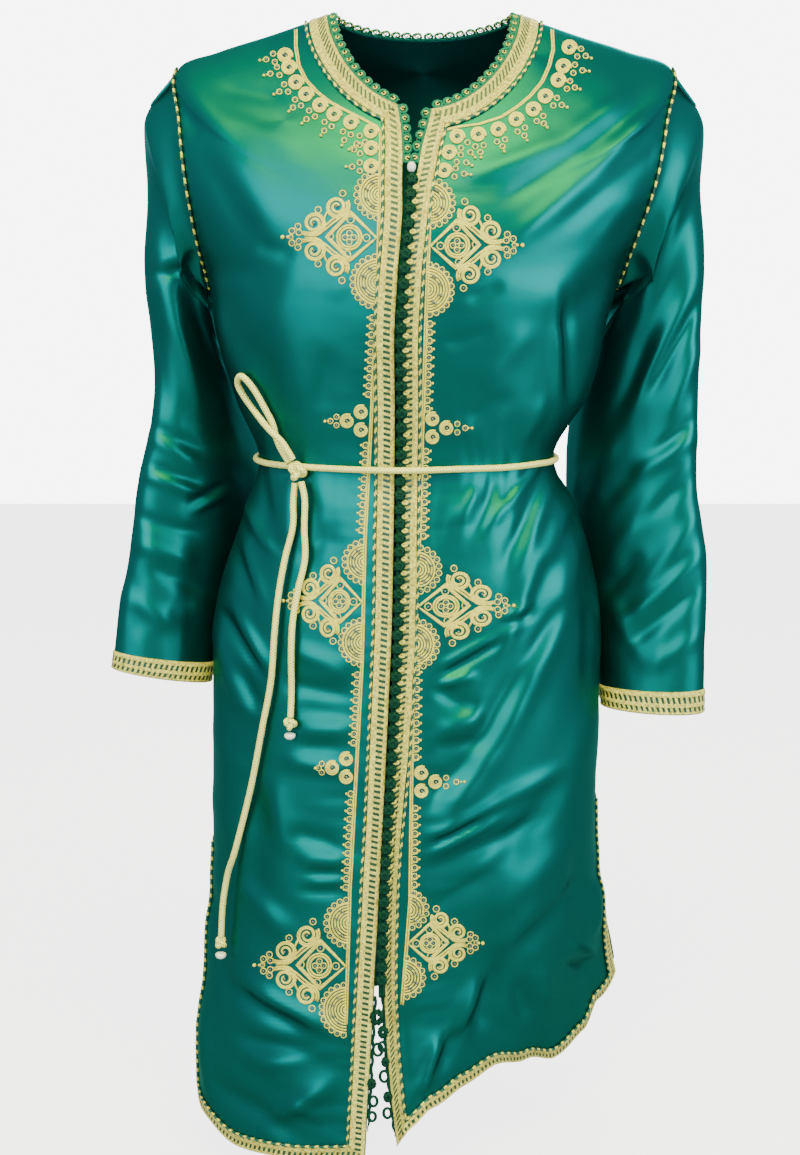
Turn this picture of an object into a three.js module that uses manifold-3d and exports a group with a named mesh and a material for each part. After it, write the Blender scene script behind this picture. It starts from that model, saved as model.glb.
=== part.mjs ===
// Satin tunic with a round neck, long sleeves and a full front opening that is closed by a row
// of silk knots. It is worn: filled out over a general figure and held up at the shoulders.
// Gold braid edges the neck, the fronts, the hem, the side slits and the cuffs, a scalloped
// crochet edging stands on the neckline, and a gold cord is tied round the waist.
// Units are millimetres, +Z is up, the front faces -Y and the origin lies on the neck's own
// axis at the height of the shoulder points next to the neck.

import * as THREE from 'three';
import { mergeVertices } from 'three/addons/utils/BufferGeometryUtils.js';
import Module from 'manifold-3d';

const wasm = await Module();
wasm.setup();

// Driving sizes
const CLOTH = 2;            // thickness of the satin wall
const SEAM = 0.3;           // gap between two pieces that are sewn together
const BRAID_WIDTH = 16;     // gold braid on neck, fronts, hem and slits
const BRAID_THICK = 1.2;
const PIPING = 2.6;         // diameter of the twisted cord on the armhole seam
const KNOT_PITCH = 13;      // one silk knot to the next
const KNOT_HALF = { across: 5.6, out: 3.3 };
const CORD = 6;             // diameter of the belt cord
const SLIT_TOP = 14.9;      // body row where the side slits start
const DEG = Math.PI / 180;

const table = (names, rows) => rows
  .map((row) => Object.fromEntries(names.map((name, i) => [name, row[i]])));
const lerp = (a, b, t) => a + (b - a) * t;
const clamp = (x, low = 0, high = 1) => Math.min(high, Math.max(low, x));
const smooth = (t) => clamp(t) ** 2 * (3 - 2 * clamp(t));
const range = (n, f) => Array.from({ length: n }, (_, i) => f(i));

// Catmull-Rom value of one named column at a fractional row
function column(rows, name, at) {
  const last = rows.length - 1;
  const i = Math.min(last - 1, Math.max(0, Math.floor(at)));
  const t = at - i;
  const value = (k) => rows[clamp(k, 0, last)][name];
  const [a, b, c, d] = [value(i - 1), value(i), value(i + 1), value(i + 2)];
  const [second, third] = [2 * a - 5 * b + 4 * c - d, 3 * b - a - 3 * c + d];
  return 0.5 * (2 * b + (c - a) * t + second * t * t + third * t ** 3);
}

// Rings of the body from the neckline to the hem. xc and w give the middle and half width,
// zs the height at the side, yf and zf the centre front, yb and zb the centre back, sf and sb
// how far the armhole edge lies in front of and behind the side line, turn how far round the
// ring each face reaches in degrees, cf where the front opening lies and gap half its width,
// swing how far the right side seam hangs back and flat how straight the right front is drawn.
// mid is the upright line from which the front's half rows are measured out to the armholes.
const BODY = table(
  ['xc', 'w', 'zs', 'yf', 'zf', 'yb', 'zb', 'sf', 'sb', 'turn', 'cf', 'gap', 'swing', 'flat',
    'mid'],
  [
    [0, 87, 0, -80, -90, 60, -14, 0, 0, 90, -9.3, 14.8, 0, 0, -3],
    [0, 104, -6, -88, -105, 72, -27, 0, 0, 90, -9.4, 11.3, 0, 0, -4],
    [0, 140, -18, -98, -124, 84, -46, 0, 0, 90, -11.1, 7.8, 0, 0, -5],
    [0, 186, -32, -107, -142, 94, -65, 0, 0, 90, -12.8, 6.1, 0, 0, -6],
    [1, 226, -49, -113, -160, 102, -88, 0, 0, 90, -15, 4, 0, 0, -7],
    [-1, 219, -100, -119, -178, 107, -118, -40, 44, 64, -16, 2.8, 0, 0, -8],
    [-3, 211, -150, -124, -200, 110, -155, -52, 56, 62, -18, 2.2, 0, 0, -9],
    [-7, 199, -203, -127, -222, 110, -200, -36, 42, 70, -20.2, 2, 0, 0, -10],
    [-9, 190, -242, -128, -245, 108, -242, 0, 0, 90, -21.7, 2, 0, 0, -11],
    [-13, 181, -285, -124, -285, 103, -285, 0, 0, 90, -23.7, 2, 0, 0, -13],
    [-12, 165, -345, -112, -345, 95, -345, 0, 0, 90, -23.3, 2, 0, 0, -15],
    [-16, 139, -401, -103, -401, 88, -401, 0, 0, 90, -23.7, 2, 0, 0, -18],
    [-11, 158, -450, -110, -450, 97, -450, 0, 0, 90, -24.4, 2, 0, 0, -21],
    [-14, 185, -545, -120, -545, 116, -545, 0, 0, 90, -26.2, 2, 0, 0, -26],
    [-16, 188, -660, -127, -660, 128, -660, 0, 0, 90, -31.5, 2, 0, 0, -33],
    [-17, 190, -780, -133, -780, 135, -780, 0, 0, 90, -38.3, 2, 14, 0.1, -39],
    [-17, 202, -900, -141, -900, 143, -900, 0, 0, 90, -40.2, 7.6, 48, 0.5, -41],
    [-8, 217, -1012, -150, -1012, 152, -1012, 0, 0, 90, -36.9, 17.3, 85, 1, -23],
  ],
);
const HEM = BODY.length - 1;

// Height of the hem above its ring, from the left back round the front to the right back.
// at is the place round the body in degrees, 0 at the centre front and negative to the left.
const HEM_LINE = table(
  ['at', 'rise'],
  [[-180, 8], [-120, -10], [-90, -26], [-70, -36], [-50, -46], [-30, -42], [-6, -32], [3, 14], [10, 22],
    [18, 28], [28, 16], [38, 3], [51, 14], [60, 36], [90, 62], [120, 38], [180, 8]],
);

// Long soft folds. x and z are the middle, slope the way it runs in degrees from level,
// long and wide its size, out how far it stands out, and less than zero is a trough.
const FOLDS = table(
  ['face', 'x', 'z', 'slope', 'long', 'wide', 'out'],
  [
    ['front', -150, -330, 68, 150, 17, -6], ['front', -116, -345, 82, 130, 14, 5],
    ['front', -152, -460, -62, 130, 15, -7], ['front', -120, -470, -78, 140, 14, 6],
    ['front', -82, -475, -84, 130, 13, -4], ['front', 55, -345, 80, 140, 15, -5],
    ['front', 90, -345, 66, 150, 14, 5], ['front', 60, -468, 80, 140, 13, 5],
    ['front', 92, -475, 72, 160, 14, -6], ['front', 124, -485, 64, 150, 13, 6],
    ['front', 100, -165, 42, 190, 18, 6], ['front', 132, -208, 42, 190, 16, -6],
    ['front', -110, -190, -52, 190, 20, -5], ['front', -78, -236, -48, 160, 18, 4],
    ['front', 110, -640, 62, 340, 26, 9], ['front', 66, -720, 56, 340, 26, -9],
    ['front', -152, -700, 86, 420, 26, -8], ['front', -108, -800, 84, 380, 24, 7],
    ['front', 98, -860, 60, 360, 30, -9], ['front', 30, -960, 74, 160, 24, -7],
    ['front', 100, -985, 80, 110, 30, -12], ['front', 150, -930, 70, 240, 24, -8],
    ['front', -170, -950, 88, 220, 22, 7], ['front', -98, -955, 86, 200, 26, -7],
    ['back', -90, -345, -80, 140, 15, 6], ['back', -50, -350, -86, 130, 14, -5],
    ['back', -10, -348, 90, 130, 14, 6], ['back', 32, -350, 84, 130, 14, -5],
    ['back', 75, -345, 78, 140, 15, 6], ['back', -95, -470, 80, 150, 15, -6],
    ['back', -55, -475, 86, 160, 15, 6], ['back', -14, -472, 90, 150, 14, -5],
    ['back', 28, -475, -86, 160, 15, 6], ['back', 70, -470, -80, 150, 15, -6],
    ['back', -115, -800, 84, 420, 28, 9], ['back', -45, -820, 88, 420, 28, -9],
    ['back', 25, -800, -88, 420, 28, 9], ['back', 95, -820, -84, 420, 28, -9],
    ['back', -90, -175, 50, 170, 20, -5], ['back', 85, -175, -50, 170, 20, -5],
  ],
);

// Straight way along a fold, and how far out of the cloth it lifts a point
function foldHeight(face, x, z) {
  let out = 0;
  for (const fold of FOLDS) {
    if (fold.face !== face) continue;
    const [c, s] = [Math.cos(fold.slope * DEG), Math.sin(fold.slope * DEG)];
    const [dx, dz] = [x - fold.x, z - fold.z];
    const along = (dx * c + dz * s) / (fold.long / 2);
    const across = (-dx * s + dz * c) / fold.wide;
    if (Math.abs(along) > 1.6 || Math.abs(across) > 3) continue;
    out += fold.out * Math.exp(-across * across - along ** 4);
  }
  return out;
}

// Height that the hem line adds, fading out at the hips
function hemRise(degrees, v) {
  const i = HEM_LINE.findIndex((row) => row.at >= degrees);
  const [a, b] = [HEM_LINE[Math.max(0, i - 1)], HEM_LINE[Math.max(0, i)]];
  const t = b.at === a.at ? 0 : (degrees - a.at) / (b.at - a.at);
  return lerp(a.rise, b.rise, smooth(t)) * smooth((v - 13) / (HEM - 13));
}

// The power that draws the rings a little square below the chest
const boxiness = (v) => lerp(1, 0.88, smooth((v - 6) / 4));

// Point of the plain body form. face is front or back, s runs from -1 at the left side to 1
// at the right side, and v is the row of BODY.
function formPoint(face, s, v) {
  const get = (name) => column(BODY, name, v);
  const front = face === 'front';
  const turn = Math.min(90, get('turn')) * DEG;
  const angle = s * turn;
  const across = Math.sin(angle) / Math.sin(turn);
  const round = Math.max(0, (Math.cos(angle) - Math.cos(turn)) / (1 - Math.cos(turn)));
  const right = s > 0 ? 1 : 0;
  const towards = front ? lerp(round, 1 - Math.abs(across), get('flat') * right) : round;
  const boxy = boxiness(v);
  const side = (front ? Math.min(0, get('sf')) : Math.max(0, get('sb'))) + get('swing') * right;
  const depth = front ? get('yf') : get('yb');
  const level = front ? get('zf') : get('zb');
  const degrees = front ? angle / DEG : Math.sign(s || 1) * (180 - Math.abs(angle) / DEG);
  return new THREE.Vector3(
    get('xc') + get('w') * Math.sign(across) * Math.abs(across) ** boxy,
    side + (depth - side) * towards ** boxy,
    get('zs') + (level - get('zs')) * towards ** 1.25 + hemRise(degrees, v),
  );
}

// Unit normal of a surface function at a place, from its two ways along it
function normalOf(surface, s, v, sMax, vMax) {
  const [ds, dv] = [0.004, 0.02];
  const along = surface(Math.min(sMax, s + ds), v).sub(surface(Math.max(-sMax, s - ds), v));
  const down = surface(s, Math.min(vMax, v + dv)).sub(surface(s, Math.max(0, v - dv)));
  return along.cross(down).normalize();
}

// Outward normal of the cloth. Next to a seam both faces share one, so that walls of real
// thickness meet there without crossing.
function outward(face, s, v) {
  const form = (f) => (a, b) => formPoint(f, a, b);
  const own = (f) => normalOf(form(f), s, v, 1, HEM).multiplyScalar(f === 'front' ? -1 : 1);
  const normal = own(face);
  const apart = Math.max(0, column(BODY, 'sb', v)) - Math.min(0, column(BODY, 'sf', v));
  const share = smooth((Math.abs(s) - 0.96) / 0.03) * (1 - smooth((apart - 2) / 10));
  if (!share) return normal;
  const both = own('front').add(own('back')).normalize();
  return normal.lerp(both, share).normalize();
}

// Point of the cloth's outer face, folds and all, lifted out by some distance
function bodyPoint(face, s, v, lift = 0) {
  const point = formPoint(face, s, v);
  const ease = smooth((1 - Math.abs(s)) / 0.1) * smooth((v - 0.9) / 1.2);
  return point.addScaledVector(outward(face, s, v), lift + foldHeight(face, point.x, point.z) * ease);
}

// Where the centre front line crosses a row, as s
function centreFront(v) {
  const offset = (column(BODY, 'cf', v) - column(BODY, 'xc', v)) / column(BODY, 'w', v);
  const turn = Math.min(90, column(BODY, 'turn', v)) * DEG;
  const across = clamp(Math.abs(offset)) ** (1 / boxiness(v));
  return (Math.asin(across * Math.sin(turn)) * Math.sign(offset)) / turn;
}

// s at a measured distance along a row from a start, so that trims keep their real width
function walkRow(face, from, to, v) {
  const steps = 28;
  const stops = range(steps + 1, (i) => lerp(from, to, i / steps));
  const points = stops.map((s) => formPoint(face, s, v));
  const lengths = [0];
  for (let i = 1; i <= steps; i += 1) lengths.push(lengths[i - 1] + points[i].distanceTo(points[i - 1]));
  const total = lengths[steps];
  const at = (distance) => {
    const d = clamp(distance, 0, total);
    const i = Math.min(steps, Math.max(1, lengths.findIndex((x) => x >= d)));
    const t = (d - lengths[i - 1]) / (lengths[i] - lengths[i - 1]);
    return lerp(stops[i - 1], stops[i], t);
  };
  return { total, at };
}

// The parting of front and back below the top of a side slit
const slitGap = (v) => SEAM / 2 + 12 * smooth((v - SLIT_TOP) / (HEM - SLIT_TOP)) ** 1.2;

// One row of a panel: from its first edge to its second, and where a distance falls
function panelRow(panel, v) {
  if (panel === 'back') {
    const row = walkRow('back', -1, 1, v);
    return { face: 'back', start: slitGap(v), end: row.total - slitGap(v), at: row.at };
  }
  const side = panel === 'left' ? -1 : 1;
  const row = walkRow('front', centreFront(v), side, v);
  return { face: 'front', start: column(BODY, 'gap', v), end: row.total - slitGap(v), at: row.at };
}

// Closed solid over the chosen cells of a cloth grid, between two heights over the cloth.
// grid.point(i, j, lift) gives its points, and grid.joined says that its rows close up.
function sheetSolid(grid, low, high, picked = () => true) {
  const { rows, columns, joined } = grid;
  const corner = (i, j) => i * columns + (joined ? j % columns : j);
  const triangles = [];
  for (let i = 0; i < rows - 1; i += 1) {
    for (let j = 0; j < (joined ? columns : columns - 1); j += 1) {
      if (!picked(i, j)) continue;
      const [p, q, r, t] = [corner(i, j), corner(i, j + 1), corner(i + 1, j + 1), corner(i + 1, j)];
      triangles.push([p, q, r], [p, r, t]);
    }
  }
  const used = [...new Set(triangles.flat())];
  const place = new Map(used.map((key, k) => [key, k]));
  const layer = (lift) => used.map((key) => grid.point(Math.floor(key / columns), key % columns, lift));
  const positions = [...layer(high), ...layer(low)].flatMap((p) => p.toArray());
  const under = (k) => k + used.length;
  const edges = new Set(triangles.flatMap(([p, q, r]) => [`${p}>${q}`, `${q}>${r}`, `${r}>${p}`]));
  const faces = [];
  for (const [p, q, r] of triangles) {
    const [a, b, c] = [p, q, r].map((key) => place.get(key));
    faces.push(a, b, c, under(a), under(c), under(b));
    for (const [from, to] of [[p, q], [q, r], [r, p]]) {
      if (edges.has(`${to}>${from}`)) continue;
      const [e, f] = [place.get(from), place.get(to)];
      faces.push(f, e, under(e), f, under(e), under(f));
    }
  }
  return closedGeometry(positions, faces);
}

// Geometry with every face pointing out
function closedGeometry(positions, faces) {
  let volume = 0;
  const corner = (k) => new THREE.Vector3().fromArray(positions, faces[k] * 3);
  for (let k = 0; k < faces.length; k += 3) {
    volume += corner(k).dot(corner(k + 1).cross(corner(k + 2)));
  }
  if (volume < 0) {
    for (let k = 0; k < faces.length; k += 3) [faces[k], faces[k + 1]] = [faces[k + 1], faces[k]];
  }
  const geometry = new THREE.BufferGeometry();
  geometry.setAttribute('position', new THREE.Float32BufferAttribute(positions, 3));
  geometry.setIndex(faces);
  return geometry;
}

const satin = new THREE.MeshStandardMaterial({ color: 0x14857f, roughness: 0.35, metalness: 0 });
const gold = new THREE.MeshStandardMaterial({ color: 0xe8dc9a, roughness: 0.5, metalness: 0.1 });
const silk = new THREE.MeshStandardMaterial({ color: 0x0f4a3c, roughness: 0.55, metalness: 0 });
const pearl = new THREE.MeshStandardMaterial({ color: 0xdfe3dc, roughness: 0.25, metalness: 0 });

const tunic = new THREE.Group();
function add(name, geometry, material) {
  const mesh = new THREE.Mesh(geometry, material);
  mesh.name = name;
  tunic.add(mesh);
}

// Body panels: two fronts and a back, with a row or column of their grid at each braid's edge
const HEM_BRAID_ROW = HEM - 0.155;
const PANEL_ROWS = [
  0, 1, 2, 3, 4, 4.3, 4.8, 5.4, 6, 6.6, 7.2, 7.7, 8, 8.5, 9, 9.5, 10, 10.5, 11, 11.5, 12, 12.5, 13,
  13.5, 14, 14.5, SLIT_TOP, 15.4, 15.9, 16.4, HEM_BRAID_ROW, HEM,
];
function panelGrid(panel, inside) {
  const stops = PANEL_ROWS.map((v) => {
    const row = panelRow(panel, v);
    const [from, to] = [row.start + BRAID_WIDTH, row.end - BRAID_WIDTH];
    const places = [row.start, ...inside.map((q) => lerp(from, to, q)), row.end];
    return { face: row.face, v, at: places.map(row.at) };
  });
  const point = (i, j, lift) => bodyPoint(stops[i].face, stops[i].at[j], stops[i].v, lift);
  return { rows: PANEL_ROWS.length, columns: inside.length + 2, point, joined: false };
}
const FRONT_INSIDE = [0, 0.11, 0.24, 0.38, 0.52, 0.66, 0.79, 0.9, 1];
const BACK_INSIDE = range(14, (j) => j / 13);
const panels = {
  left: panelGrid('left', FRONT_INSIDE),
  right: panelGrid('right', FRONT_INSIDE),
  back: panelGrid('back', BACK_INSIDE),
};
add('front_left', sheetSolid(panels.left, -CLOTH, 0), satin);
add('front_right', sheetSolid(panels.right, -CLOTH, 0), satin);
add('back', sheetSolid(panels.back, -CLOTH, 0), satin);

// Flat gold braid. On each front one length runs round the neck, down the front edge, along
// the hem and up the slit; the back has one on the neck and one round the hem and slits.
const lastRow = PANEL_ROWS.length - 2;
const inSlit = (i) => PANEL_ROWS[i] >= SLIT_TOP;
function lay(name, grid, picked) {
  add(name, sheetSolid(grid, SEAM, SEAM + BRAID_THICK, picked), gold);
}
const frontBraid = (grid) => (i, j) => (
  i === 0 || j === 0 || i === lastRow || (j === grid.columns - 2 && inSlit(i)));
lay('braid_left', panels.left, frontBraid(panels.left));
lay('braid_right', panels.right, frontBraid(panels.right));
lay('neck_braid_back', panels.back, (i) => i === 0);
lay('hem_braid_back', panels.back, (i, j) => (
  i === lastRow || (inSlit(i) && (j === 0 || j === panels.back.columns - 2))));

// Sleeves. Each row is one ring: the outer edge, the inner edge next to the body, and half
// its depth from front to back. The first ring is the armhole itself.
const SLEEVE = {
  left: table(['ox', 'oy', 'oz', 'ix', 'iy', 'iz', 'deep'], [
    [-243, 0, -61, -214, 4, -235, 54],
    [-257, 2, -97, -219, 18, -256, 47],
    [-249, 2, -155, -216, 42, -284, 34],
    [-254, 2, -215, -205, 62, -318, 31],
    [-251, 4, -285, -190, 80, -352, 30],
    [-253, 6, -355, -175, 88, -395, 29],
    [-270, 4, -425, -165, 82, -445, 29],
    [-280, 0, -490, -181, 66, -502, 28],
    [-293, -4, -553, -200, 46, -568, 27],
    [-301, -6, -608, -210, 26, -628, 26],
  ]),
  right: table(['ox', 'oy', 'oz', 'ix', 'iy', 'iz', 'deep'], [
    [242, 0, -61, 197, 4, -235, 54],
    [257, 2, -97, 203, 18, -256, 47],
    [256, 2, -155, 188, 50, -284, 34],
    [261, 2, -215, 170, 72, -318, 31],
    [260, 4, -290, 155, 86, -352, 30],
    [261, 6, -360, 148, 88, -398, 29],
    [262, 4, -430, 148, 82, -452, 29],
    [274, 0, -505, 160, 66, -518, 28],
    [274, -4, -580, 172, 46, -588, 27],
    [275, -6, -652, 180, 26, -652, 26],
  ]),
};
const CUFF = SLEEVE.left.length;
const ARM = { top: 4, bottom: 8 };

// Creases of the sleeves. at is the ring, round the degrees from the back over the outer
// edge to the front, tilt how many rings it climbs for each 90 degrees.
const SLEEVE_FOLDS = table(
  ['side', 'at', 'round', 'tilt', 'long', 'wide', 'out'],
  [
    ['left', 2.6, 140, 1.3, 50, 0.42, -6], ['left', 4.2, 170, 1.2, 70, 0.4, 4],
    ['left', 5.6, 140, -1.1, 80, 0.38, -6], ['left', 6.3, 150, -0.9, 80, 0.38, 5],
    ['left', 7.1, 140, -0.6, 70, 0.36, -5], ['left', 8.1, 170, 0.8, 70, 0.4, 4],
    ['right', 2.4, 140, 1.3, 50, 0.42, -6], ['right', 4.0, 170, 1.2, 70, 0.4, 4],
    ['right', 5.4, 140, -1.0, 80, 0.38, 5], ['right', 6.1, 150, -0.9, 80, 0.38, -6],
    ['right', 7.2, 150, 1.1, 80, 0.4, -6], ['right', 8.0, 150, 1.2, 80, 0.4, 5],
  ],
);

// Where a front row is measured from at the armhole, as s
function frontMiddle(v) {
  const offset = (column(BODY, 'mid', v) - column(BODY, 'xc', v)) / column(BODY, 'w', v);
  const turn = Math.min(90, column(BODY, 'turn', v)) * DEG;
  return (Math.asin(clamp(Math.abs(offset), 0, 1)) * Math.sign(offset)) / turn;
}

// Edge of the armhole at a turn: front for 90 to 270 degrees and back for the rest
function armholeEdge(side, turn, lift) {
  const sign = side === 'left' ? -1 : 1;
  const front = turn >= 90 && turn <= 270;
  const down = (front ? turn - 90 : (450 - turn) % 360) / 180;
  const v = lerp(ARM.top, ARM.bottom, clamp(down));
  const face = front ? 'front' : 'back';
  const row = walkRow(face, front ? frontMiddle(v) : 0, sign, v);
  return bodyPoint(face, row.at(row.total - SEAM / 2), v, lift);
}

// Way along the cloth from the armhole edge to the sleeve, square to the edge
function towardsSleeve(side, turn) {
  const edge = (t, lift) => armholeEdge(side, (t + 360) % 360, lift);
  const along = edge(turn + 12, 0).sub(edge(turn - 12, 0));
  const through = edge(turn, 0).sub(edge(turn, -CLOTH));
  return along.cross(through).normalize().multiplyScalar(side === 'left' ? 1 : -1);
}

// Smooth plain form of a sleeve ring, with the armhole as ring 0
function sleeveForm(side, ring, turn) {
  const rows = SLEEVE[side];
  const at = Math.max(0, ring - 1);
  const get = (name) => column(rows, name, at);
  const outer = new THREE.Vector3(get('ox'), get('oy'), get('oz'));
  const inner = new THREE.Vector3(get('ix'), get('iy'), get('iz'));
  const middle = outer.clone().add(inner).multiplyScalar(0.5);
  const half = outer.clone().sub(inner).multiplyScalar(0.5);
  const flat = new THREE.Vector3(half.x, half.y, 0).normalize();
  const sign = side === 'left' ? 1 : -1;
  const away = new THREE.Vector3(flat.y, -flat.x, 0).multiplyScalar(sign);
  const lean = new THREE.Vector3(0, 1, 0);
  const across = lean.lerp(away, smooth((at + 0.4) / 3.4)).normalize();
  const angle = turn * DEG;
  const [u, w] = [Math.sin(angle), Math.cos(angle)];
  const point = middle.addScaledVector(half, u).addScaledVector(across, get('deep') * w);
  if (ring < 1) {
    const edge = armholeEdge(side, turn, 0);
    return edge.lerp(point, ring);
  }
  return point;
}

function sleeveFolds(side, ring, turn) {
  let out = 0;
  for (const fold of SLEEVE_FOLDS) {
    if (fold.side !== side) continue;
    const round = (turn - fold.round) / fold.long;
    const along = (ring - fold.at - (fold.tilt * (turn - fold.round)) / 90) / fold.wide;
    if (Math.abs(round) > 1.6 || Math.abs(along) > 3) continue;
    out += fold.out * Math.exp(-along * along - round ** 4);
  }
  return out * smooth((ring - 1) / 1.5) * smooth((CUFF - ring) / 1.2);
}

// Point on the sleeve's outer face, folds and all, lifted out by some distance
function sleevePoint(side, ring, turn, lift = 0) {
  const sign = side === 'left' ? -1 : 1;
  const form = (r, t) => sleeveForm(side, r, t);
  const normal = (f, r, t) => {
    const round = f(r, t + 3).sub(f(r, t - 3));
    const along = f(Math.min(CUFF, r + 0.05), t).sub(f(Math.max(1, r - 0.05), t));
    return round.cross(along).multiplyScalar(sign).normalize();
  };
  const folded = (r, t) => {
    const out = sleeveFolds(side, r, t);
    const p = form(r, t);
    return out ? p.addScaledVector(normal(form, Math.max(1, r), t), out) : p;
  };
  const point = folded(ring, turn);
  return lift ? point.addScaledVector(normal(folded, Math.max(1, ring), turn), lift) : point;
}

const CUFF_BRAID_RING = CUFF - 0.4;
const SLEEVE_RINGS = [
  0, 1, 1.5, 2, 2.6, 3.2, 3.8, 4.4, 5, 5.5, 6, 6.5, 7, 7.5, 8, 8.5, 9, CUFF_BRAID_RING, CUFF,
];
// one column of the sleeve for each row that the panels have at the armhole
const frontTurns = PANEL_ROWS.filter((v) => v >= ARM.top && v <= ARM.bottom)
  .map((v) => lerp(90, 270, (v - ARM.top) / (ARM.bottom - ARM.top)));
const backTurns = frontTurns.slice(1, -1).reverse().map((turn) => (540 - turn) % 360);
const TURNS = [...frontTurns, ...backTurns];
for (const side of ['left', 'right']) {
  const point = (i, j, lift) => {
    const [ring, turn] = [SLEEVE_RINGS[i], TURNS[j]];
    if (ring > 0) return sleevePoint(side, ring, turn, lift);
    return armholeEdge(side, turn, lift).addScaledVector(towardsSleeve(side, turn), 2 * SEAM);
  };
  const grid = { rows: SLEEVE_RINGS.length, columns: TURNS.length, point, joined: true };
  add(`sleeve_${side}`, sheetSolid(grid, -CLOTH, 0), satin);
  lay(`cuff_braid_${side}`, grid, (i) => i === SLEEVE_RINGS.length - 2);
}

// Tube of a round section along points that are given with the way that faces out of the cloth
function tube(points, radius, sides = 8, closed = false) {
  const curve = new THREE.CatmullRomCurve3(points, closed, 'centripetal');
  const steps = points.length - (closed ? 0 : 1);
  const stops = range(closed ? steps : steps + 1, (i) => i / steps);
  const frames = curve.computeFrenetFrames(steps, closed);
  const rings = stops.map((u, i) => {
    const centre = points[i];
    const [n, b] = [frames.normals[i], frames.binormals[i]];
    return range(sides, (j) => {
      const a = (j / sides) * 2 * Math.PI;
      const [across, up] = [radius * Math.cos(a), radius * Math.sin(a)];
      return centre.clone().addScaledVector(n, across).addScaledVector(b, up);
    });
  });
  return loft(rings, closed);
}

// Closed solid through rings of points, capped at both ends unless the rings join up
function loft(rings, closed = false) {
  const sides = rings[0].length;
  const positions = rings.flat().flatMap((p) => [p.x, p.y, p.z]);
  const at = (i, j) => (i % rings.length) * sides + (j % sides);
  const faces = [];
  const spans = closed ? rings.length : rings.length - 1;
  for (let i = 0; i < spans; i += 1) {
    for (let j = 0; j < sides; j += 1) {
      faces.push(at(i, j), at(i, j + 1), at(i + 1, j + 1), at(i, j), at(i + 1, j + 1), at(i + 1, j));
    }
  }
  if (!closed) {
    const last = rings.length - 1;
    for (let j = 1; j < sides - 1; j += 1) {
      faces.push(at(0, 0), at(0, j + 1), at(0, j), at(last, 0), at(last, j), at(last, j + 1));
    }
  }
  return closedGeometry(positions, faces);
}

// Egg shape with its own half sizes, at a place
function egg(centre, half, across = 10, down = 7) {
  const sphere = new THREE.SphereGeometry(1, across, down);
  sphere.deleteAttribute('uv');
  sphere.deleteAttribute('normal');
  sphere.rotateX(90 * DEG).scale(...half).translate(...centre.toArray());
  return mergeVertices(sphere, 1e-4);
}

// Row whose centre front lies at a height
function rowAtHeight(z) {
  let [low, high] = [0, HEM];
  for (let i = 0; i < 30; i += 1) {
    const v = (low + high) / 2;
    if (formPoint('front', centreFront(v), v).z > z) low = v;
    else high = v;
  }
  return low;
}

// Point of the front at an x and z, and the point over the front that has them with its lift
function frontAt(x, z, lift) {
  let [top, bottom] = [0, HEM];
  let s = 0;
  for (let i = 0; i < 26; i += 1) {
    const v = (top + bottom) / 2;
    let [a, b] = [-1, 1];
    for (let k = 0; k < 26; k += 1) {
      s = (a + b) / 2;
      if (formPoint('front', s, v).x < x) a = s;
      else b = s;
    }
    if (formPoint('front', s, v).z > z) top = v;
    else bottom = v;
  }
  return bodyPoint('front', s, top, lift);
}
function onFront(x, z, lift) {
  const first = frontAt(x, z, lift);
  return frontAt(2 * x - first.x, 2 * z - first.z, lift);
}

// Twisted piping round the armholes, laid on the body beside the seam
for (const side of ['left', 'right']) {
  const place = (turn) => armholeEdge(side, turn, PIPING / 2 + 1.5 * SEAM)
    .addScaledVector(towardsSleeve(side, turn), -PIPING / 2 - 8 * SEAM);
  const points = range(30, (j) => place((90 + j * 12) % 360));
  add(`armhole_piping_${side}`, tube(points, PIPING / 2, 6, true), gold);
}

// Silk knots down the front. They are one strip: wide at each knot and narrow between.
const KNOTS = { top: -146, bottom: -884, right: 3 };
const knotRows = [];
for (let z = KNOTS.top; z >= KNOTS.bottom; z -= KNOT_PITCH / 2) knotRows.push(z);
const over = BRAID_THICK + 4 * SEAM;
const knotRings = knotRows.map((z, i) => {
  const v = rowAtHeight(z);
  const s = panelRow('right', v).at(KNOTS.right);
  const centre = bodyPoint('front', s, v);
  const way = bodyPoint('front', s + 0.02, v).sub(bodyPoint('front', s - 0.02, v)).normalize();
  const out = normalOf((a, r) => bodyPoint('front', a, r), s, v, 1, HEM).negate();
  const full = i % 2 === 1 ? 1 : 0.55;
  const [across, high] = [KNOT_HALF.across * full, KNOT_HALF.out * full];
  return [[-1, 0.7], [-0.6, 2], [0.6, 2], [1, 0.7], [0.7, 0], [-0.7, 0]].map(([x, h]) => centre.clone()
    .addScaledVector(out, over + h * high)
    .addScaledVector(way, x * across));
});
add('closure_knots', loft(knotRings), silk);
const beadHalf = 4.2;
const beadRow = rowAtHeight(KNOTS.top + beadHalf - SEAM);
const beadPlace = bodyPoint('front', centreFront(beadRow), beadRow, over + 1.6);
beadPlace.x += 1.3;
add('neck_bead', egg(beadPlace, [beadHalf, beadHalf, beadHalf]), pearl);

// Cord of loops along an edge: each loop is an open arch. path(distance, out) gives its points.
function loops(name, count, pitch, reach, radius, path, material) {
  const turn = [[0, 0], [0.2, 0.8], [0.5, 1], [0.8, 0.8]];
  const out = (h) => radius + 2 * SEAM + h * (reach - 2 * radius);
  const points = range(count, (i) => turn.map(([t, h]) => path((i + t) * pitch, out(h)))).flat();
  points.push(path(count * pitch, out(0)));
  add(name, tube(points, radius, 4), material);
}

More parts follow.
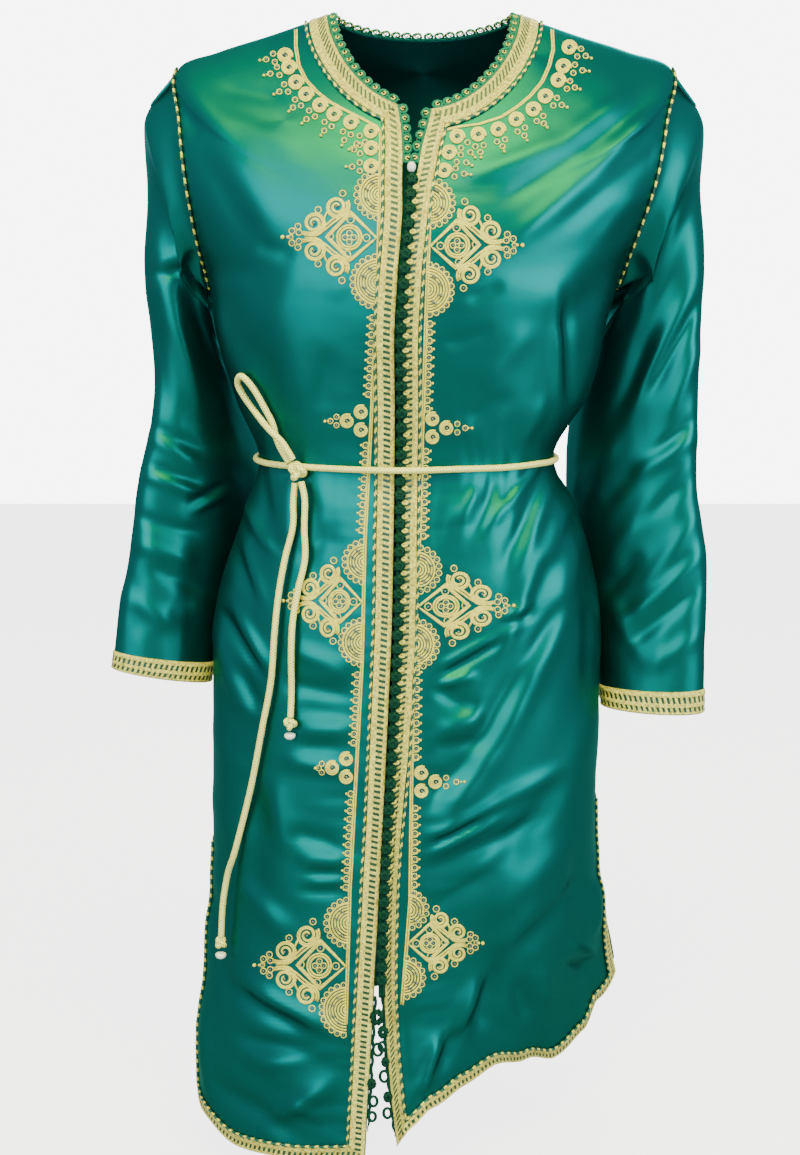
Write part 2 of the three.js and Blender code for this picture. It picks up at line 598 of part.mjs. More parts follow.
// Scalloped crochet edging that stands on the neckline, in three lengths
const EDGING = { pitch: 10.5, reach: 8.5, radius: 1.2 };
const neckEdge = (face, from, to) => {
  const row = walkRow(face, from, to, 0);
  return (distance, out) => {
    const s = row.at(distance);
    const [rim, below] = [bodyPoint(face, s, 0, -CLOTH / 2), bodyPoint(face, s, 0.3, -CLOTH / 2)];
    return rim.clone().addScaledVector(rim.clone().sub(below).normalize(), out);
  };
};
for (const [name, face, sign] of [['left', 'front', -1], ['right', 'front', 1]]) {
  const path = neckEdge(face, centreFront(0), sign);
  const total = walkRow(face, centreFront(0), sign, 0).total;
  const start = column(BODY, 'gap', 0);
  const count = Math.floor((total - start - 1) / EDGING.pitch);
  const pitch = (total - start - 3) / count;
  const { reach, radius } = EDGING;
  loops(`neck_edging_${name}`, count, pitch, reach, radius, (d, out) => path(start + d, out), silk);
}
const backTotal = walkRow('back', -1, 1, 0).total;
const backCount = Math.floor((backTotal - 3) / EDGING.pitch);
loops('neck_edging_back', backCount, (backTotal - 3) / backCount, EDGING.reach, EDGING.radius,
  (d, out) => neckEdge('back', -1, 1)(1.5 + d, out), silk);

// Green loops on the lower front edges, where the fronts part below the last knot
const LOWER = { top: -893, pitch: 26, count: 4, reach: 9, radius: 1.1 };
for (const side of ['left', 'right']) {
  const path = (distance, out) => {
    const v = rowAtHeight(LOWER.top - distance);
    const row = panelRow(side, v);
    const room = column(BODY, 'gap', v) - 2 * LOWER.radius;
    const free = Math.min(out, room);
    return bodyPoint('front', row.at(row.start - free), v, -CLOTH / 2);
  };
  loops(`lower_loops_${side}`, LOWER.count, LOWER.pitch, LOWER.reach, LOWER.radius, path, silk);
}

// Belt: a cord once round the waist, a knot on the left, one free loop and two tails
const BELT = { height: -402, knotX: -114, knotHalf: [9.5, 7.5, 10] };
const beltRow = rowAtHeight(BELT.height);
function beltLift(fromCentre) {
  const d = Math.abs(fromCentre - KNOTS.right);
  const overBraid = (SEAM + BRAID_THICK) * smooth((38 - d) / 12);
  const overKnots = (KNOT_HALF.out * 2 + 3 * SEAM) * smooth((22 - d) / 12);
  return CORD / 2 + 7 * SEAM + overBraid + overKnots;
}
const waist = (face, s) => {
  const x = bodyPoint(face, s, beltRow).x - column(BODY, 'cf', beltRow);
  return bodyPoint(face, s, beltRow, face === 'front' ? beltLift(x) : CORD / 2 + 6 * SEAM);
};
const knotSpot = onFront(BELT.knotX, BELT.height - 3, BELT.knotHalf[1] + 6 * SEAM);
const outsideKnot = (p, gap) => {
  const away = p.clone().sub(knotSpot);
  return Math.hypot(...BELT.knotHalf.map((half, k) => away.getComponent(k) / (half + gap))) > 1;
};
// the ends of the ring stop against the knot, one on each side of it
const fromRing = (s) => waist('front', s).distanceTo(knotSpot);
const knotPlace = range(200, (i) => -0.99 + i * 0.005)
  .reduce((best, s) => (fromRing(s) < fromRing(best) ? s : best), 0);
function ringEnd(step) {
  let s = knotPlace;
  while (!outsideKnot(waist('front', s), 4 * SEAM)) s += step;
  return s;
}
const [endRight, endLeft] = [ringEnd(0.002), ringEnd(-0.002)];
const ringRound = [
  ...range(22, (i) => waist('front', lerp(endRight, 0.96, i / 21))),
  ...range(19, (i) => waist('back', lerp(0.96, -0.96, i / 18))),
  ...range(6, (i) => waist('front', lerp(-0.96, endLeft, i / 5))),
];
add('belt_waist', tube(ringRound, CORD / 2, 6), gold);
add('belt_knot', egg(knotSpot, BELT.knotHalf, 12, 8), gold);

// Free stretches of the belt: x and z of each point and its height over the cloth
const CORDS = {
  belt_loop: table(['x', 'z', 'lift'], [
    [-118.5, -391, 13], [-127, -379, 14], [-136, -370.5, 14], [-144, -362.5, 11.5], [-155, -350, 7],
    [-164, -338, 5.5], [-168, -328.5, 5.5], [-165.5, -321.5, 6], [-160, -323.5, 6], [-152, -334, 5.5],
    [-143, -350, 5], [-136.5, -363, 5], [-133.5, -375, 5.5], [-129.5, -385, 8.5], [-124, -395, 12]]),
  belt_tail_short: table(['x', 'z', 'lift'], [
    [-109, -416, 9], [-107, -430, 8], [-107, -455, 7], [-107, -483, 7], [-113, -509, 7],
    [-118, -537, 7], [-120, -567, 7], [-120, -602, 7], [-121, -627, 7]]),
  belt_tail_long: table(['x', 'z', 'lift'], [
    [-117, -417, 9], [-117, -432, 8], [-118, -455, 7], [-125, -482, 8], [-131, -514, 8],
    [-135, -549, 8], [-139, -595, 7], [-148, -641, 7], [-160, -700, 7], [-176, -762, 8],
    [-184, -788, 9], [-190, -820, 9], [-192, -853, 9]]),
};
// An end that comes out of the knot starts on the knot's own surface
function fromKnot(p) {
  const away = p.clone().sub(knotSpot);
  const reach = Math.hypot(...BELT.knotHalf.map((half, k) => away.getComponent(k) / half));
  return knotSpot.clone().addScaledVector(away, 1 / reach).addScaledVector(away.normalize(), 3 * SEAM);
}
const cordPoints = {};
for (const [name, rows] of Object.entries(CORDS)) {
  const points = rows.map((row) => onFront(row.x, row.z, row.lift));
  points[0] = fromKnot(points[0]);
  if (name === 'belt_loop') points[points.length - 1] = fromKnot(points[points.length - 1]);
  cordPoints[name] = points;
  add(name, tube(points, CORD / 2, 6), gold);
}

// Each tail ends in a knot with a pearl-white cap below it
const TAIL_END = { knot: [7, 6.5, 6.5], cap: [5.2, 5.2, 3.6] };
for (const name of ['short', 'long']) {
  const points = cordPoints[`belt_tail_${name}`];
  const end = points[points.length - 1];
  const down = end.clone().sub(points[points.length - 2]).normalize();
  const knot = end.clone().addScaledVector(down, TAIL_END.knot[2] + SEAM);
  const cap = knot.clone().addScaledVector(down, TAIL_END.knot[2] + TAIL_END.cap[2] + SEAM);
  add(`tail_knot_${name}`, egg(knot, TAIL_END.knot), gold);
  add(`tail_cap_${name}`, egg(cap, TAIL_END.cap), pearl);
}

export default tunic;
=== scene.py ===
import math

import bmesh
import bpy
import numpy as np
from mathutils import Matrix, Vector
from mathutils.bvhtree import BVHTree


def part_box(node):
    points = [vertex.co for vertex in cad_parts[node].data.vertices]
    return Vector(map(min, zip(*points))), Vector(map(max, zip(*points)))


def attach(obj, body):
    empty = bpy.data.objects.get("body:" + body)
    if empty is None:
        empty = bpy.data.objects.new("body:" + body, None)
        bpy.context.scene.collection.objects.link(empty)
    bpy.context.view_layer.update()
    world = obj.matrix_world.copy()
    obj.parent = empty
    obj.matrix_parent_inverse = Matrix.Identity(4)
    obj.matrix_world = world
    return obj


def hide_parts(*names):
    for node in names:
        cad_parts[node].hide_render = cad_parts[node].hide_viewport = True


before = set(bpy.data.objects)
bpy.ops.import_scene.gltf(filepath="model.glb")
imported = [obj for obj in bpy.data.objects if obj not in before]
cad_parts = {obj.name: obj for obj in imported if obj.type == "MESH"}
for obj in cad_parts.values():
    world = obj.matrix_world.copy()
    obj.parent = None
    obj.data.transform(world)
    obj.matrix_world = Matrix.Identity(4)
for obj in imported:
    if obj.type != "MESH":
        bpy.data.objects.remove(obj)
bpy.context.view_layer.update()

# Camera, floor and light
# The tunic was photographed from 1.55 m, level with the chest and looking down a little. It
# hangs over a pale studio floor between four soft lamps: a large one in front on the left, one
# on the right, a yellow one above and a pale one behind.
PHOTO = {"width": 800, "height": 1155, "focal": 1632}
CAMERA = {"x": -21.5, "y": -1550.0, "z": -228.0, "down": math.radians(10.65)}
FLOOR = -1.085  # metres, a little below the hem

camera_data = bpy.data.cameras.new("camera")
camera_data.sensor_fit = "AUTO"
camera_data.sensor_width = 36
camera_data.lens = PHOTO["focal"] / PHOTO["height"] * 36
camera = bpy.data.objects.new("camera", camera_data)
camera.location = (CAMERA["x"] / 1000, CAMERA["y"] / 1000, CAMERA["z"] / 1000)
camera.rotation_euler = (math.radians(90) - CAMERA["down"], 0, 0)
bpy.context.collection.objects.link(camera)
bpy.context.scene.camera = camera


def camera_share(tree, lighting, seen, socket):
    """Gives a socket one value where it lights the tunic and another where the camera sees it."""
    path = tree.nodes.new("ShaderNodeLightPath")
    share = tree.nodes.new("ShaderNodeMapRange")
    share.inputs["To Min"].default_value = lighting
    share.inputs["To Max"].default_value = seen
    tree.links.new(path.outputs["Is Camera Ray"], share.inputs["Value"])
    tree.links.new(share.outputs[0], socket)


bpy.ops.object.select_all(action="DESELECT")
bpy.ops.mesh.primitive_plane_add(size=9, location=(0, 0, 0))
floor = bpy.context.object
floor.name = "floor"
for corner in floor.data.vertices:
    corner.co.z = FLOOR
floor_paint = bpy.data.materials.new("studio_floor")
floor_paint.use_nodes = True
paint = floor_paint.node_tree.nodes["Principled BSDF"]
paint.inputs["Base Color"].default_value = (0.3, 0.3, 0.3, 1)
paint.inputs["Roughness"].default_value = 0.8
paint.inputs["Emission Color"].default_value = (1, 1, 1, 1)
camera_share(floor_paint.node_tree, 0.02, 3.6, paint.inputs["Emission Strength"])
floor.data.materials.append(floor_paint)

# the backdrop is white, and lights the satin far less than the lamps do
world = bpy.data.worlds.new("studio")
world.use_nodes = True
backdrop = world.node_tree.nodes["Background"]
backdrop.inputs["Color"].default_value = (1, 1, 1, 1)
camera_share(world.node_tree, 0.95, 7.0, backdrop.inputs["Strength"])
bpy.context.scene.world = world


def lamp(name, place, aim, size, power, colour):
    """A soft square lamp that looks at a point."""
    data = bpy.data.lights.new(name, "AREA")
    data.shape = "RECTANGLE"
    data.size, data.size_y = size
    data.energy = power
    data.color = colour
    light = bpy.data.objects.new(name, data)
    light.location = place
    light.rotation_euler = (Vector(aim) - Vector(place)).to_track_quat("-Z", "Y").to_euler()
    bpy.context.collection.objects.link(light)


lamp("key", (-1.1, -2.2, 0.55), (0, 0, -0.3), (2.0, 1.9), 66, (0.80, 0.98, 1))
lamp("fill", (1.6, -1.5, 0.15), (0, 0, -0.35), (1.2, 1.6), 44, (0.80, 0.98, 1))
lamp("top", (0.1, -1.3, 1.9), (0, 0, -0.1), (1.8, 0.9), 118, (1, 0.80, 0.1))
lamp("back", (0.2, 1.6, 0.9), (0, 0, -0.4), (1.4, 0.8), 40, (0.95, 1, 1))

# Satin fronts and back
# Two fronts and a back of emerald polyester satin, sewn at the shoulders and sides and open
# down the front. Each is one width of cloth that hangs in soft folds from the shoulders, is
# drawn in by the belt and puckers a little beside the braid.
HEM = 17
SEAM = 0.3
BRAID_WIDTH = 16
SLIT_TOP = 14.9
CLOTH_WALL = 0.0012  # metres
ROW_STEP = 3.4
BODY_COLUMNS = "xc w zs yf zf yb zb sf sb turn cf gap swing flat".split()
BODY_RINGS = np.array([
    [0, 87, 0, -80, -90, 60, -14, 0, 0, 90, -9.3, 14.8, 0, 0],
    [0, 104, -6, -88, -105, 72, -27, 0, 0, 90, -9.4, 11.3, 0, 0],
    [0, 140, -18, -98, -124, 84, -46, 0, 0, 90, -11.1, 7.8, 0, 0],
    [0, 186, -32, -107, -142, 94, -65, 0, 0, 90, -12.8, 6.1, 0, 0],
    [1, 226, -49, -113, -160, 102, -88, 0, 0, 90, -15, 4, 0, 0],
    [-1, 219, -100, -119, -178, 107, -118, -40, 44, 64, -16, 2.8, 0, 0],
    [-3, 211, -150, -124, -200, 110, -155, -52, 56, 62, -18, 2.2, 0, 0],
    [-7, 199, -203, -127, -222, 110, -200, -36, 42, 70, -20.2, 2, 0, 0],
    [-9, 190, -242, -128, -245, 108, -242, 0, 0, 90, -21.7, 2, 0, 0],
    [-13, 181, -285, -124, -285, 103, -285, 0, 0, 90, -23.7, 2, 0, 0],
    [-12, 165, -345, -112, -345, 95, -345, 0, 0, 90, -23.3, 2, 0, 0],
    [-16, 139, -401, -103, -401, 88, -401, 0, 0, 90, -23.7, 2, 0, 0],
    [-11, 158, -450, -110, -450, 97, -450, 0, 0, 90, -24.4, 2, 0, 0],
    [-14, 185, -545, -120, -545, 116, -545, 0, 0, 90, -26.2, 2, 0, 0],
    [-16, 188, -660, -127, -660, 128, -660, 0, 0, 90, -31.5, 2, 0, 0],
    [-17, 190, -780, -133, -780, 135, -780, 0, 0, 90, -38.3, 2, 14, 0.1],
    [-17, 202, -900, -141, -900, 143, -900, 0, 0, 90, -40.2, 7.6, 48, 0.5],
    [-8, 217, -1012, -150, -1012, 152, -1012, 0, 0, 90, -36.9, 17.3, 85, 1],
], float)
HEM_LINE = np.array([
    [-180, 8], [-120, -10], [-90, -26], [-70, -36], [-50, -46], [-30, -42], [-6, -32], [3, 14], [10, 22],
    [18, 28], [28, 16], [38, 3], [51, 14], [60, 36], [90, 62], [120, 38], [180, 8],
], float)
# The creases that the photo shows: the pixels of both ends, then the half width and how far it
# stands out of the cloth, in millimetres. Less than zero is a trough.
FRONT_CREASES = (
    # right chest
    (621, 100, 555, 146, 9, 2.6), (555, 146, 471, 178, 9, 2.6), (652, 98, 575, 155, 9, -2.8),
    (575, 155, 505, 200, 9, -2.2), (648, 115, 589, 175, 8, 3.0), (589, 175, 515, 240, 10, 3.2),
    (655, 150, 560, 230, 10, -2.6), (618, 238, 536, 305, 16, 3.2), (640, 190, 600, 240, 7, 1.6),
    (600, 285, 560, 330, 14, -3.5), (556, 300, 559, 400, 5, 2.6), (567, 300, 570, 400, 6, -3.2),
    (500, 285, 470, 300, 6, -1.6), (490, 330, 450, 345, 7, -1.6), (530, 330, 480, 380, 12, 2.4),
    (600, 330, 585, 410, 12, 2.6), (510, 395, 470, 420, 9, -2.2), (545, 400, 520, 445, 8, 2.4),
    # left chest
    (182, 72, 235, 149, 12, 3.2), (235, 149, 281, 235, 18, 3.4), (226, 90, 284, 104, 8, -2.4),
    (230, 120, 300, 150, 10, 1.8), (188, 118, 205, 135, 7, -2.0), (200, 150, 255, 240, 12, -2.6),
    (205, 200, 240, 300, 14, 3.0), (258, 245, 292, 256, 8, -2.4), (300, 262, 270, 330, 16, 2.6),
    (345, 262, 335, 300, 9, 1.6), (220, 300, 262, 370, 14, -2.4), (290, 330, 300, 400, 16, 2.2),
    (262, 350, 280, 420, 10, -2.6), (330, 350, 322, 410, 10, -2.0), (240, 345, 250, 400, 9, 2.2),
    # below the belt, left
    (245, 505, 275, 552, 6, 3.0), (236, 545, 256, 600, 8, -2.2), (243, 536, 262, 600, 6, 2.0),
    (236, 606, 268, 668, 6, 2.6), (224, 612, 262, 674, 6, -3.0), (216, 624, 238, 700, 10, 3.0),
    (238, 700, 268, 718, 8, 2.0), (240, 668, 262, 716, 8, -2.6), (300, 470, 345, 520, 14, 2.4),
    (330, 530, 300, 560, 9, -1.8), (293, 648, 350, 672, 9, 2.8), (289, 682, 352, 696, 9, -3.2),
    (298, 728, 352, 730, 8, 2.2), (300, 707, 350, 712, 7, -1.4), (288, 760, 345, 770, 7, 2.2),
    (300, 745, 340, 747, 6, -1.6), (262, 480, 268, 530, 9, -2.0), (285, 470, 288, 540, 8, 1.8),
    # left skirt, low
    (230, 730, 236, 860, 16, 3.0), (262, 790, 250, 900, 14, -2.4), (274, 785, 288, 850, 12, 2.8),
    (291, 832, 336, 844, 8, -2.6), (300, 858, 345, 862, 7, 2.0), (306, 872, 345, 874, 4, -1.6),
    (311, 882, 343, 880, 4, 1.4), (300, 890, 345, 893, 5, -1.6), (239, 880, 288, 932, 12, 3.2),
    (215, 900, 225, 1000, 12, -2.6), (248, 980, 328, 1028, 9, 3.4), (233, 990, 305, 1030, 9, -3.2),
    (240, 1035, 330, 1058, 10, -2.8), (255, 1060, 330, 1052, 9, 2.4), (270, 1118, 330, 1084, 9, 3.0),
    (215, 1080, 290, 1125, 12, -2.6), (205, 1000, 210, 1090, 8, 2.4), (290, 1100, 325, 1120, 7, 1.6),
    # below the belt, right
    (540, 463, 490, 524, 5, 3.0), (499, 474, 474, 536, 8, -3.0), (478, 490, 460, 520, 7, 2.4),
    (529, 470, 508, 500, 5, -1.6), (553, 466, 514, 580, 7, 2.6), (540, 480, 505, 560, 7, -2.6),
    (568, 500, 542, 560, 9, 3.0), (542, 540, 502, 650, 9, 3.2), (575, 532, 547, 640, 14, 3.6),
    (547, 640, 500, 735, 14, 4.2), (500, 735, 440, 830, 16, 4.2), (561, 600, 529, 660, 9, -3.6),
    (529, 660, 470, 760, 12, -4.4), (470, 760, 425, 800, 12, -3.4), (590, 560, 588, 700, 10, -2.6),
    (533, 612, 503, 625, 4, -2.6), (530, 604, 504, 616, 4, 1.8), (499, 642, 441, 676, 4, -2.8),
    (497, 634, 445, 664, 4, 2.2), (437, 690, 474, 712, 8, -2.8), (473, 676, 440, 684, 5, 2.4),
    (481, 714, 440, 732, 9, 2.6), (437, 748, 480, 742, 7, -2.0), (590, 700, 560, 820, 16, 2.6),
    (560, 780, 500, 870, 14, -3.0),
    # right skirt, low
    (429, 836, 500, 800, 6, 3.0), (500, 800, 560, 770, 9, 2.6), (434, 852, 500, 818, 5, 2.4),
    (430, 845, 480, 820, 4, -2.2), (430, 872, 540, 820, 9, -3.2), (492, 915, 570, 840, 16, 3.0),
    (440, 905, 500, 870, 8, -2.0), (575, 850, 590, 940, 12, -2.6), (520, 960, 585, 890, 14, -3.0),
    (480, 990, 456, 1042, 9, 3.2), (500, 980, 480, 1050, 10, -3.2), (438, 1045, 419, 1094, 7, 3.0),
    (455, 1040, 440, 1080, 8, -2.2), (575, 960, 604, 984, 6, 2.6), (570, 985, 596, 1000, 6, -2.4),
    (545, 985, 555, 1030, 10, 2.4), (520, 1000, 530, 1045, 9, -2.2), (600, 900, 603, 950, 6, 2.2),
    (540, 900, 500, 960, 12, 2.2),
)
# The hidden ones: x and z of the middle, the way it runs in degrees, how long and wide it is and
# how far it stands out, in millimetres
BACK_FOLDS = np.array([
    [-90, -345, -80, 140, 15, 6], [-50, -350, -86, 130, 14, -5], [-10, -348, 90, 130, 14, 6],
    [32, -350, 84, 130, 14, -5], [75, -345, 78, 140, 15, 6], [-95, -470, 80, 150, 15, -6],
    [-55, -475, 86, 160, 15, 6], [-14, -472, 90, 150, 14, -5], [28, -475, -86, 160, 15, 6],
    [70, -470, -80, 150, 15, -6], [-115, -800, 84, 420, 28, 9], [-45, -820, 88, 420, 28, -9],
    [25, -800, -88, 420, 28, 9], [95, -820, -84, 420, 28, -9], [-90, -175, 50, 170, 20, -5],
    [85, -175, -50, 170, 20, -5],
], float)


def smooth(t):
    t = np.clip(t, 0, 1)
    return t * t * (3 - 2 * t)


def spline(a, b, c, d, t):
    """Catmull-Rom curve from b to c."""
    second, third = 2 * a - 5 * b + 4 * c - d, 3 * b - a - 3 * c + d
    return 0.5 * (2 * b + (c - a) * t + second * t * t + third * t ** 3)


def column(rows, names, name, at):
    """Catmull-Rom value of a named column at fractional rows."""
    values = rows[:, names.index(name)]
    last = len(values) - 1
    i = np.clip(np.floor(at).astype(int), 0, last - 1)
    t = at - i
    a, b, c, d = (values[np.clip(i + k, 0, last)] for k in (-1, 0, 1, 2))
    return spline(a, b, c, d, t)


def ring(name, v):
    return column(BODY_RINGS, BODY_COLUMNS, name, v)


def seen_at(px, py, y):
    """x and z of what the photo shows at a pixel, where its depth is y."""
    right = (px - PHOTO["width"] / 2) / PHOTO["focal"]
    up = -(py - PHOTO["height"] / 2) / PHOTO["focal"]
    c, s = math.cos(CAMERA["down"]), math.sin(CAMERA["down"])
    reach = (y - CAMERA["y"]) / (c + up * s)
    return CAMERA["x"] + reach * right, CAMERA["z"] + reach * (-s + up * c)


def seen_on_front(px, py):
    """x and z of the front at a pixel: its depth comes from the rings, in a few rounds."""
    xc, w, yf, zf = (BODY_RINGS[::-1, BODY_COLUMNS.index(name)] for name in ("xc", "w", "yf", "zf"))
    y = -120
    for _ in range(6):
        x, z = seen_at(px, py, y)
        off = min(0.98, abs((x - np.interp(z, zf, xc)) / np.interp(z, zf, w)))
        y = np.interp(z, zf, yf) * max(0.05, 1 - off ** 2) ** 0.44
    return x, z


def crease(place, x1, y1, x2, y2, wide, high):
    """A fold from the pixels of its ends: middle, way in degrees, length, width and height."""
    (ax, az), (bx, bz) = place(x1, y1), place(x2, y2)
    slope = math.degrees(math.atan2(bz - az, bx - ax))
    slope -= 180 if slope > 90 else -180 if slope <= -90 else 0
    length = math.hypot(bx - ax, bz - az)
    return [round((ax + bx) / 2), round((az + bz) / 2), round(slope), round(length), wide, high]


FRONT_FOLDS = np.array([crease(seen_on_front, *reading) for reading in FRONT_CREASES], float)


def noise(x, z, seed):
    """Smooth noise between about -0.7 and 0.7 with one hump for each unit."""
    xi, zi = np.floor(x).astype(np.int64), np.floor(z).astype(np.int64)
    fx, fz = x - xi, z - zi

    def corner(i, j):
        h = ((xi + i) * 374761393 + (zi + j) * 668265263 + seed * 974634777) & 0xFFFFFFFF
        h = ((h ^ (h >> 13)) * 1274126177) & 0xFFFFFFFF
        a = ((h ^ (h >> 16)) & 0xFFFF) / 65536 * 2 * np.pi
        return np.cos(a) * (fx - i) + np.sin(a) * (fz - j)

    sx, sz = (f ** 3 * (f * (6 * f - 15) + 10) for f in (fx, fz))
    top = corner(0, 0) * (1 - sx) + corner(1, 0) * sx
    low = corner(0, 1) * (1 - sx) + corner(1, 1) * sx
    return top * (1 - sz) + low * sz


def fold_height(rows, x, z):
    out = np.zeros_like(x)
    for fx, fz, slope, long, wide, high in rows:
        c, s = math.cos(math.radians(slope)), math.sin(math.radians(slope))
        along = ((x - fx) * c + (z - fz) * s) / (long / 2)
        across = (-(x - fx) * s + (z - fz) * c) / wide
        out += high * np.exp(-across * across - along ** 4)
    return out


def boxiness(v):
    """The power that draws the rings a little square below the chest."""
    return 1 - 0.12 * smooth((v - 6) / 4)


def form(face, s, v):
    """Plain body form. s runs from -1 at the left side to 1 at the right, v is the ring."""
    s, v = np.broadcast_arrays(np.asarray(s, float), np.asarray(v, float))
    turn = np.radians(np.minimum(90, ring("turn", v)))
    angle = s * turn
    across = np.sin(angle) / np.sin(turn)
    roundness = np.maximum(0, (np.cos(angle) - np.cos(turn)) / (1 - np.cos(turn)))
    right = (s > 0).astype(float)
    flat = ring("flat", v) * right
    towards = roundness
    if face == "front":
        towards = roundness * (1 - flat) + (1 - np.abs(across)) * flat
    boxy = boxiness(v)
    edge = np.minimum(0, ring("sf", v)) if face == "front" else np.maximum(0, ring("sb", v))
    side = edge + ring("swing", v) * right
    depth, level = (ring("yf", v), ring("zf", v)) if face == "front" else (ring("yb", v), ring("zb", v))
    degrees = np.degrees(angle)
    if face == "back":
        degrees = np.where(s < 0, -1, 1) * (180 - np.abs(degrees))
    i = np.clip(np.searchsorted(HEM_LINE[:, 0], degrees), 1, len(HEM_LINE) - 1)
    (a0, r0), (a1, r1) = ((HEM_LINE[k, 0], HEM_LINE[k, 1]) for k in (i - 1, i))
    rise = (r0 + (r1 - r0) * smooth((degrees - a0) / (a1 - a0))) * smooth((v - 13) / (HEM - 13))
    zs = ring("zs", v)
    return np.stack([
        ring("xc", v) + ring("w", v) * np.sign(across) * np.abs(across) ** boxy,
        side + (depth - side) * towards ** boxy,
        zs + (level - zs) * towards ** 1.25 + rise,
    ], -1)


def unit(vectors):
    return vectors / np.maximum(1e-9, np.linalg.norm(vectors, axis=-1, keepdims=True))


def normal_of(surface, s, v, s_max, v_max, ds=0.004, dv=0.02):
    along = surface(np.minimum(s_max, s + ds), v) - surface(np.maximum(-s_max, s - ds), v)
    down = surface(s, np.minimum(v_max, v + dv)) - surface(s, np.maximum(0, v - dv))
    return unit(np.cross(along, down))


def cloth(face, s, v):
    """Point of the cloth's outer face with its folds."""
    s, v = np.broadcast_arrays(np.asarray(s, float), np.asarray(v, float))
    point = form(face, s, v)
    out = normal_of(lambda a, b: form(face, a, b), s, v, 1, HEM) * (-1 if face == "front" else 1)
    ease = smooth((1 - np.abs(s)) / 0.1) * smooth((v - 0.9) / 1.2)
    rows = FRONT_FOLDS if face == "front" else BACK_FOLDS
    x, z = point[..., 0], point[..., 2]
    skirt = 1 + 0.5 * smooth((-z - 430) / 120) + 0.5 * smooth((-z - 760) / 150)
    calm = 1 - 0.4 * smooth((-x - 10) / 60) * smooth((z + 330) / 60) if face == "front" else 1.0
    height = (fold_height(rows, x, z) * skirt + crumple(face, x, z)) * calm
    return point + out * (height * ease)[..., None]


def crumple(face, x, z):
    """Fine soft creases: faint and slanting all over, upright and deeper at the belt, and
    short level puckers where the braid and the embroidery draw the satin in."""
    seed = 3 if face == "front" else 8
    wx = x + 14 * noise(x / 70, z / 70, seed)
    wz = z + 14 * noise(x / 70, z / 70, seed + 1)
    slant = wx * 0.45 + wz * 0.9
    cross = wx * 0.9 - wz * 0.45
    soft = 1.6 * noise(slant / 52, cross / 170, seed + 2) + 0.7 * noise(slant / 26, cross / 90, seed + 3)
    low = smooth((-z - 700) / 200)
    soft = soft * (1 + 0.8 * low) + 5.0 * low * noise(slant / 95, cross / 60, seed + 9)
    near_belt = np.exp(-((z + 402) / 62) ** 2)
    gather = near_belt * (1.8 * noise(wx / 18, wz / 130, seed + 4) + 0.8 * noise(wx / 9, wz / 70, seed + 5))
    out = soft + gather
    if face == "front":
        middle = np.interp(-z, [90, 245, 345, 545, 780, 900, 1012], [-9, -22, -23, -26, -38, -40, -37])
        beside = np.abs(x - middle)
        edge = smooth((beside - 12) / 20) * np.exp(-((beside - 34) / 34) ** 2)
        lower = 0.45 + 0.55 * smooth((-z - 300) / 350)
        pucker = noise(x / 60 + 7, z / 10.5, seed + 6) + 0.5 * noise(x / 34, z / 6.0, seed + 7)
        out = out + 0.95 * edge * lower * pucker
    return out


def lifted(face, s, v, lift):
    """Point over the cloth, and the way that faces out of it."""
    out = normal_of(lambda a, b: cloth(face, a, b), s, v, 1, HEM) * (-1 if face == "front" else 1)
    return cloth(face, s, v) + out * np.asarray(lift)[..., None], out


def centre_front(v):
    offset = (ring("cf", v) - ring("xc", v)) / ring("w", v)
    turn = np.radians(np.minimum(90, ring("turn", v)))
    across = np.clip(np.abs(offset), 0, 1) ** (1 / boxiness(v))
    return np.arcsin(across * np.sin(turn)) * np.sign(offset) / turn


def slit_gap(v):
    return SEAM / 2 + 12 * smooth((v - SLIT_TOP) / (HEM - SLIT_TOP)) ** 1.2


def running(line):
    """Distance of each point along a line."""
    return np.concatenate([[0], np.cumsum(np.linalg.norm(np.diff(line, axis=0), axis=-1))])


def walk(panel, v):
    """For each row: stops along it, their distances, and where the panel starts and ends."""
    v = np.atleast_1d(np.asarray(v, float))
    first = np.full(v.shape, -1.0) if panel == "back" else centre_front(v)
    last = -1.0 if panel == "left" else 1.0
    stops = first[:, None] + (last - first)[:, None] * np.linspace(0, 1, 49)
    points = form("back" if panel == "back" else "front", stops, v[:, None])
    steps = np.linalg.norm(np.diff(points, axis=1), axis=-1)
    lengths = np.concatenate([np.zeros((len(v), 1)), np.cumsum(steps, axis=1)], axis=1)
    start = slit_gap(v) if panel == "back" else ring("gap", v)
    return stops, lengths, start, lengths[:, -1] - slit_gap(v)


def stops_at(distance, lengths, stops):
    return np.array([np.interp(d, row, stop) for d, row, stop in zip(distance, lengths, stops)])


def places(panel, v, distance):
    """s at distances along rows, counted from the front edge, or from the left seam behind."""
    stops, lengths = walk(panel, v)[:2]
    return stops_at(distance, lengths, stops)


def mesh_piece(name, points, faces, material, uv=None):
    """A piece from points in millimetres, faces by number and an optional UV for each point."""
    mesh = bpy.data.meshes.new(name)
    mesh.from_pydata([tuple(p) for p in np.asarray(points) / 1000], [], [tuple(f) for f in faces])
    if uv is not None:
        layer = mesh.uv_layers.new(name="UVMap")
        corners = np.empty(len(mesh.loops), int)
        mesh.loops.foreach_get("vertex_index", corners)
        layer.data.foreach_set("uv", np.asarray(uv, float)[corners].ravel())
    mesh.polygons.foreach_set("use_smooth", [True] * len(mesh.polygons))
    piece = bpy.data.objects.new(name, mesh)
    bpy.context.collection.objects.link(piece)
    mesh.materials.append(material)
    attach(piece, "root")
    return piece


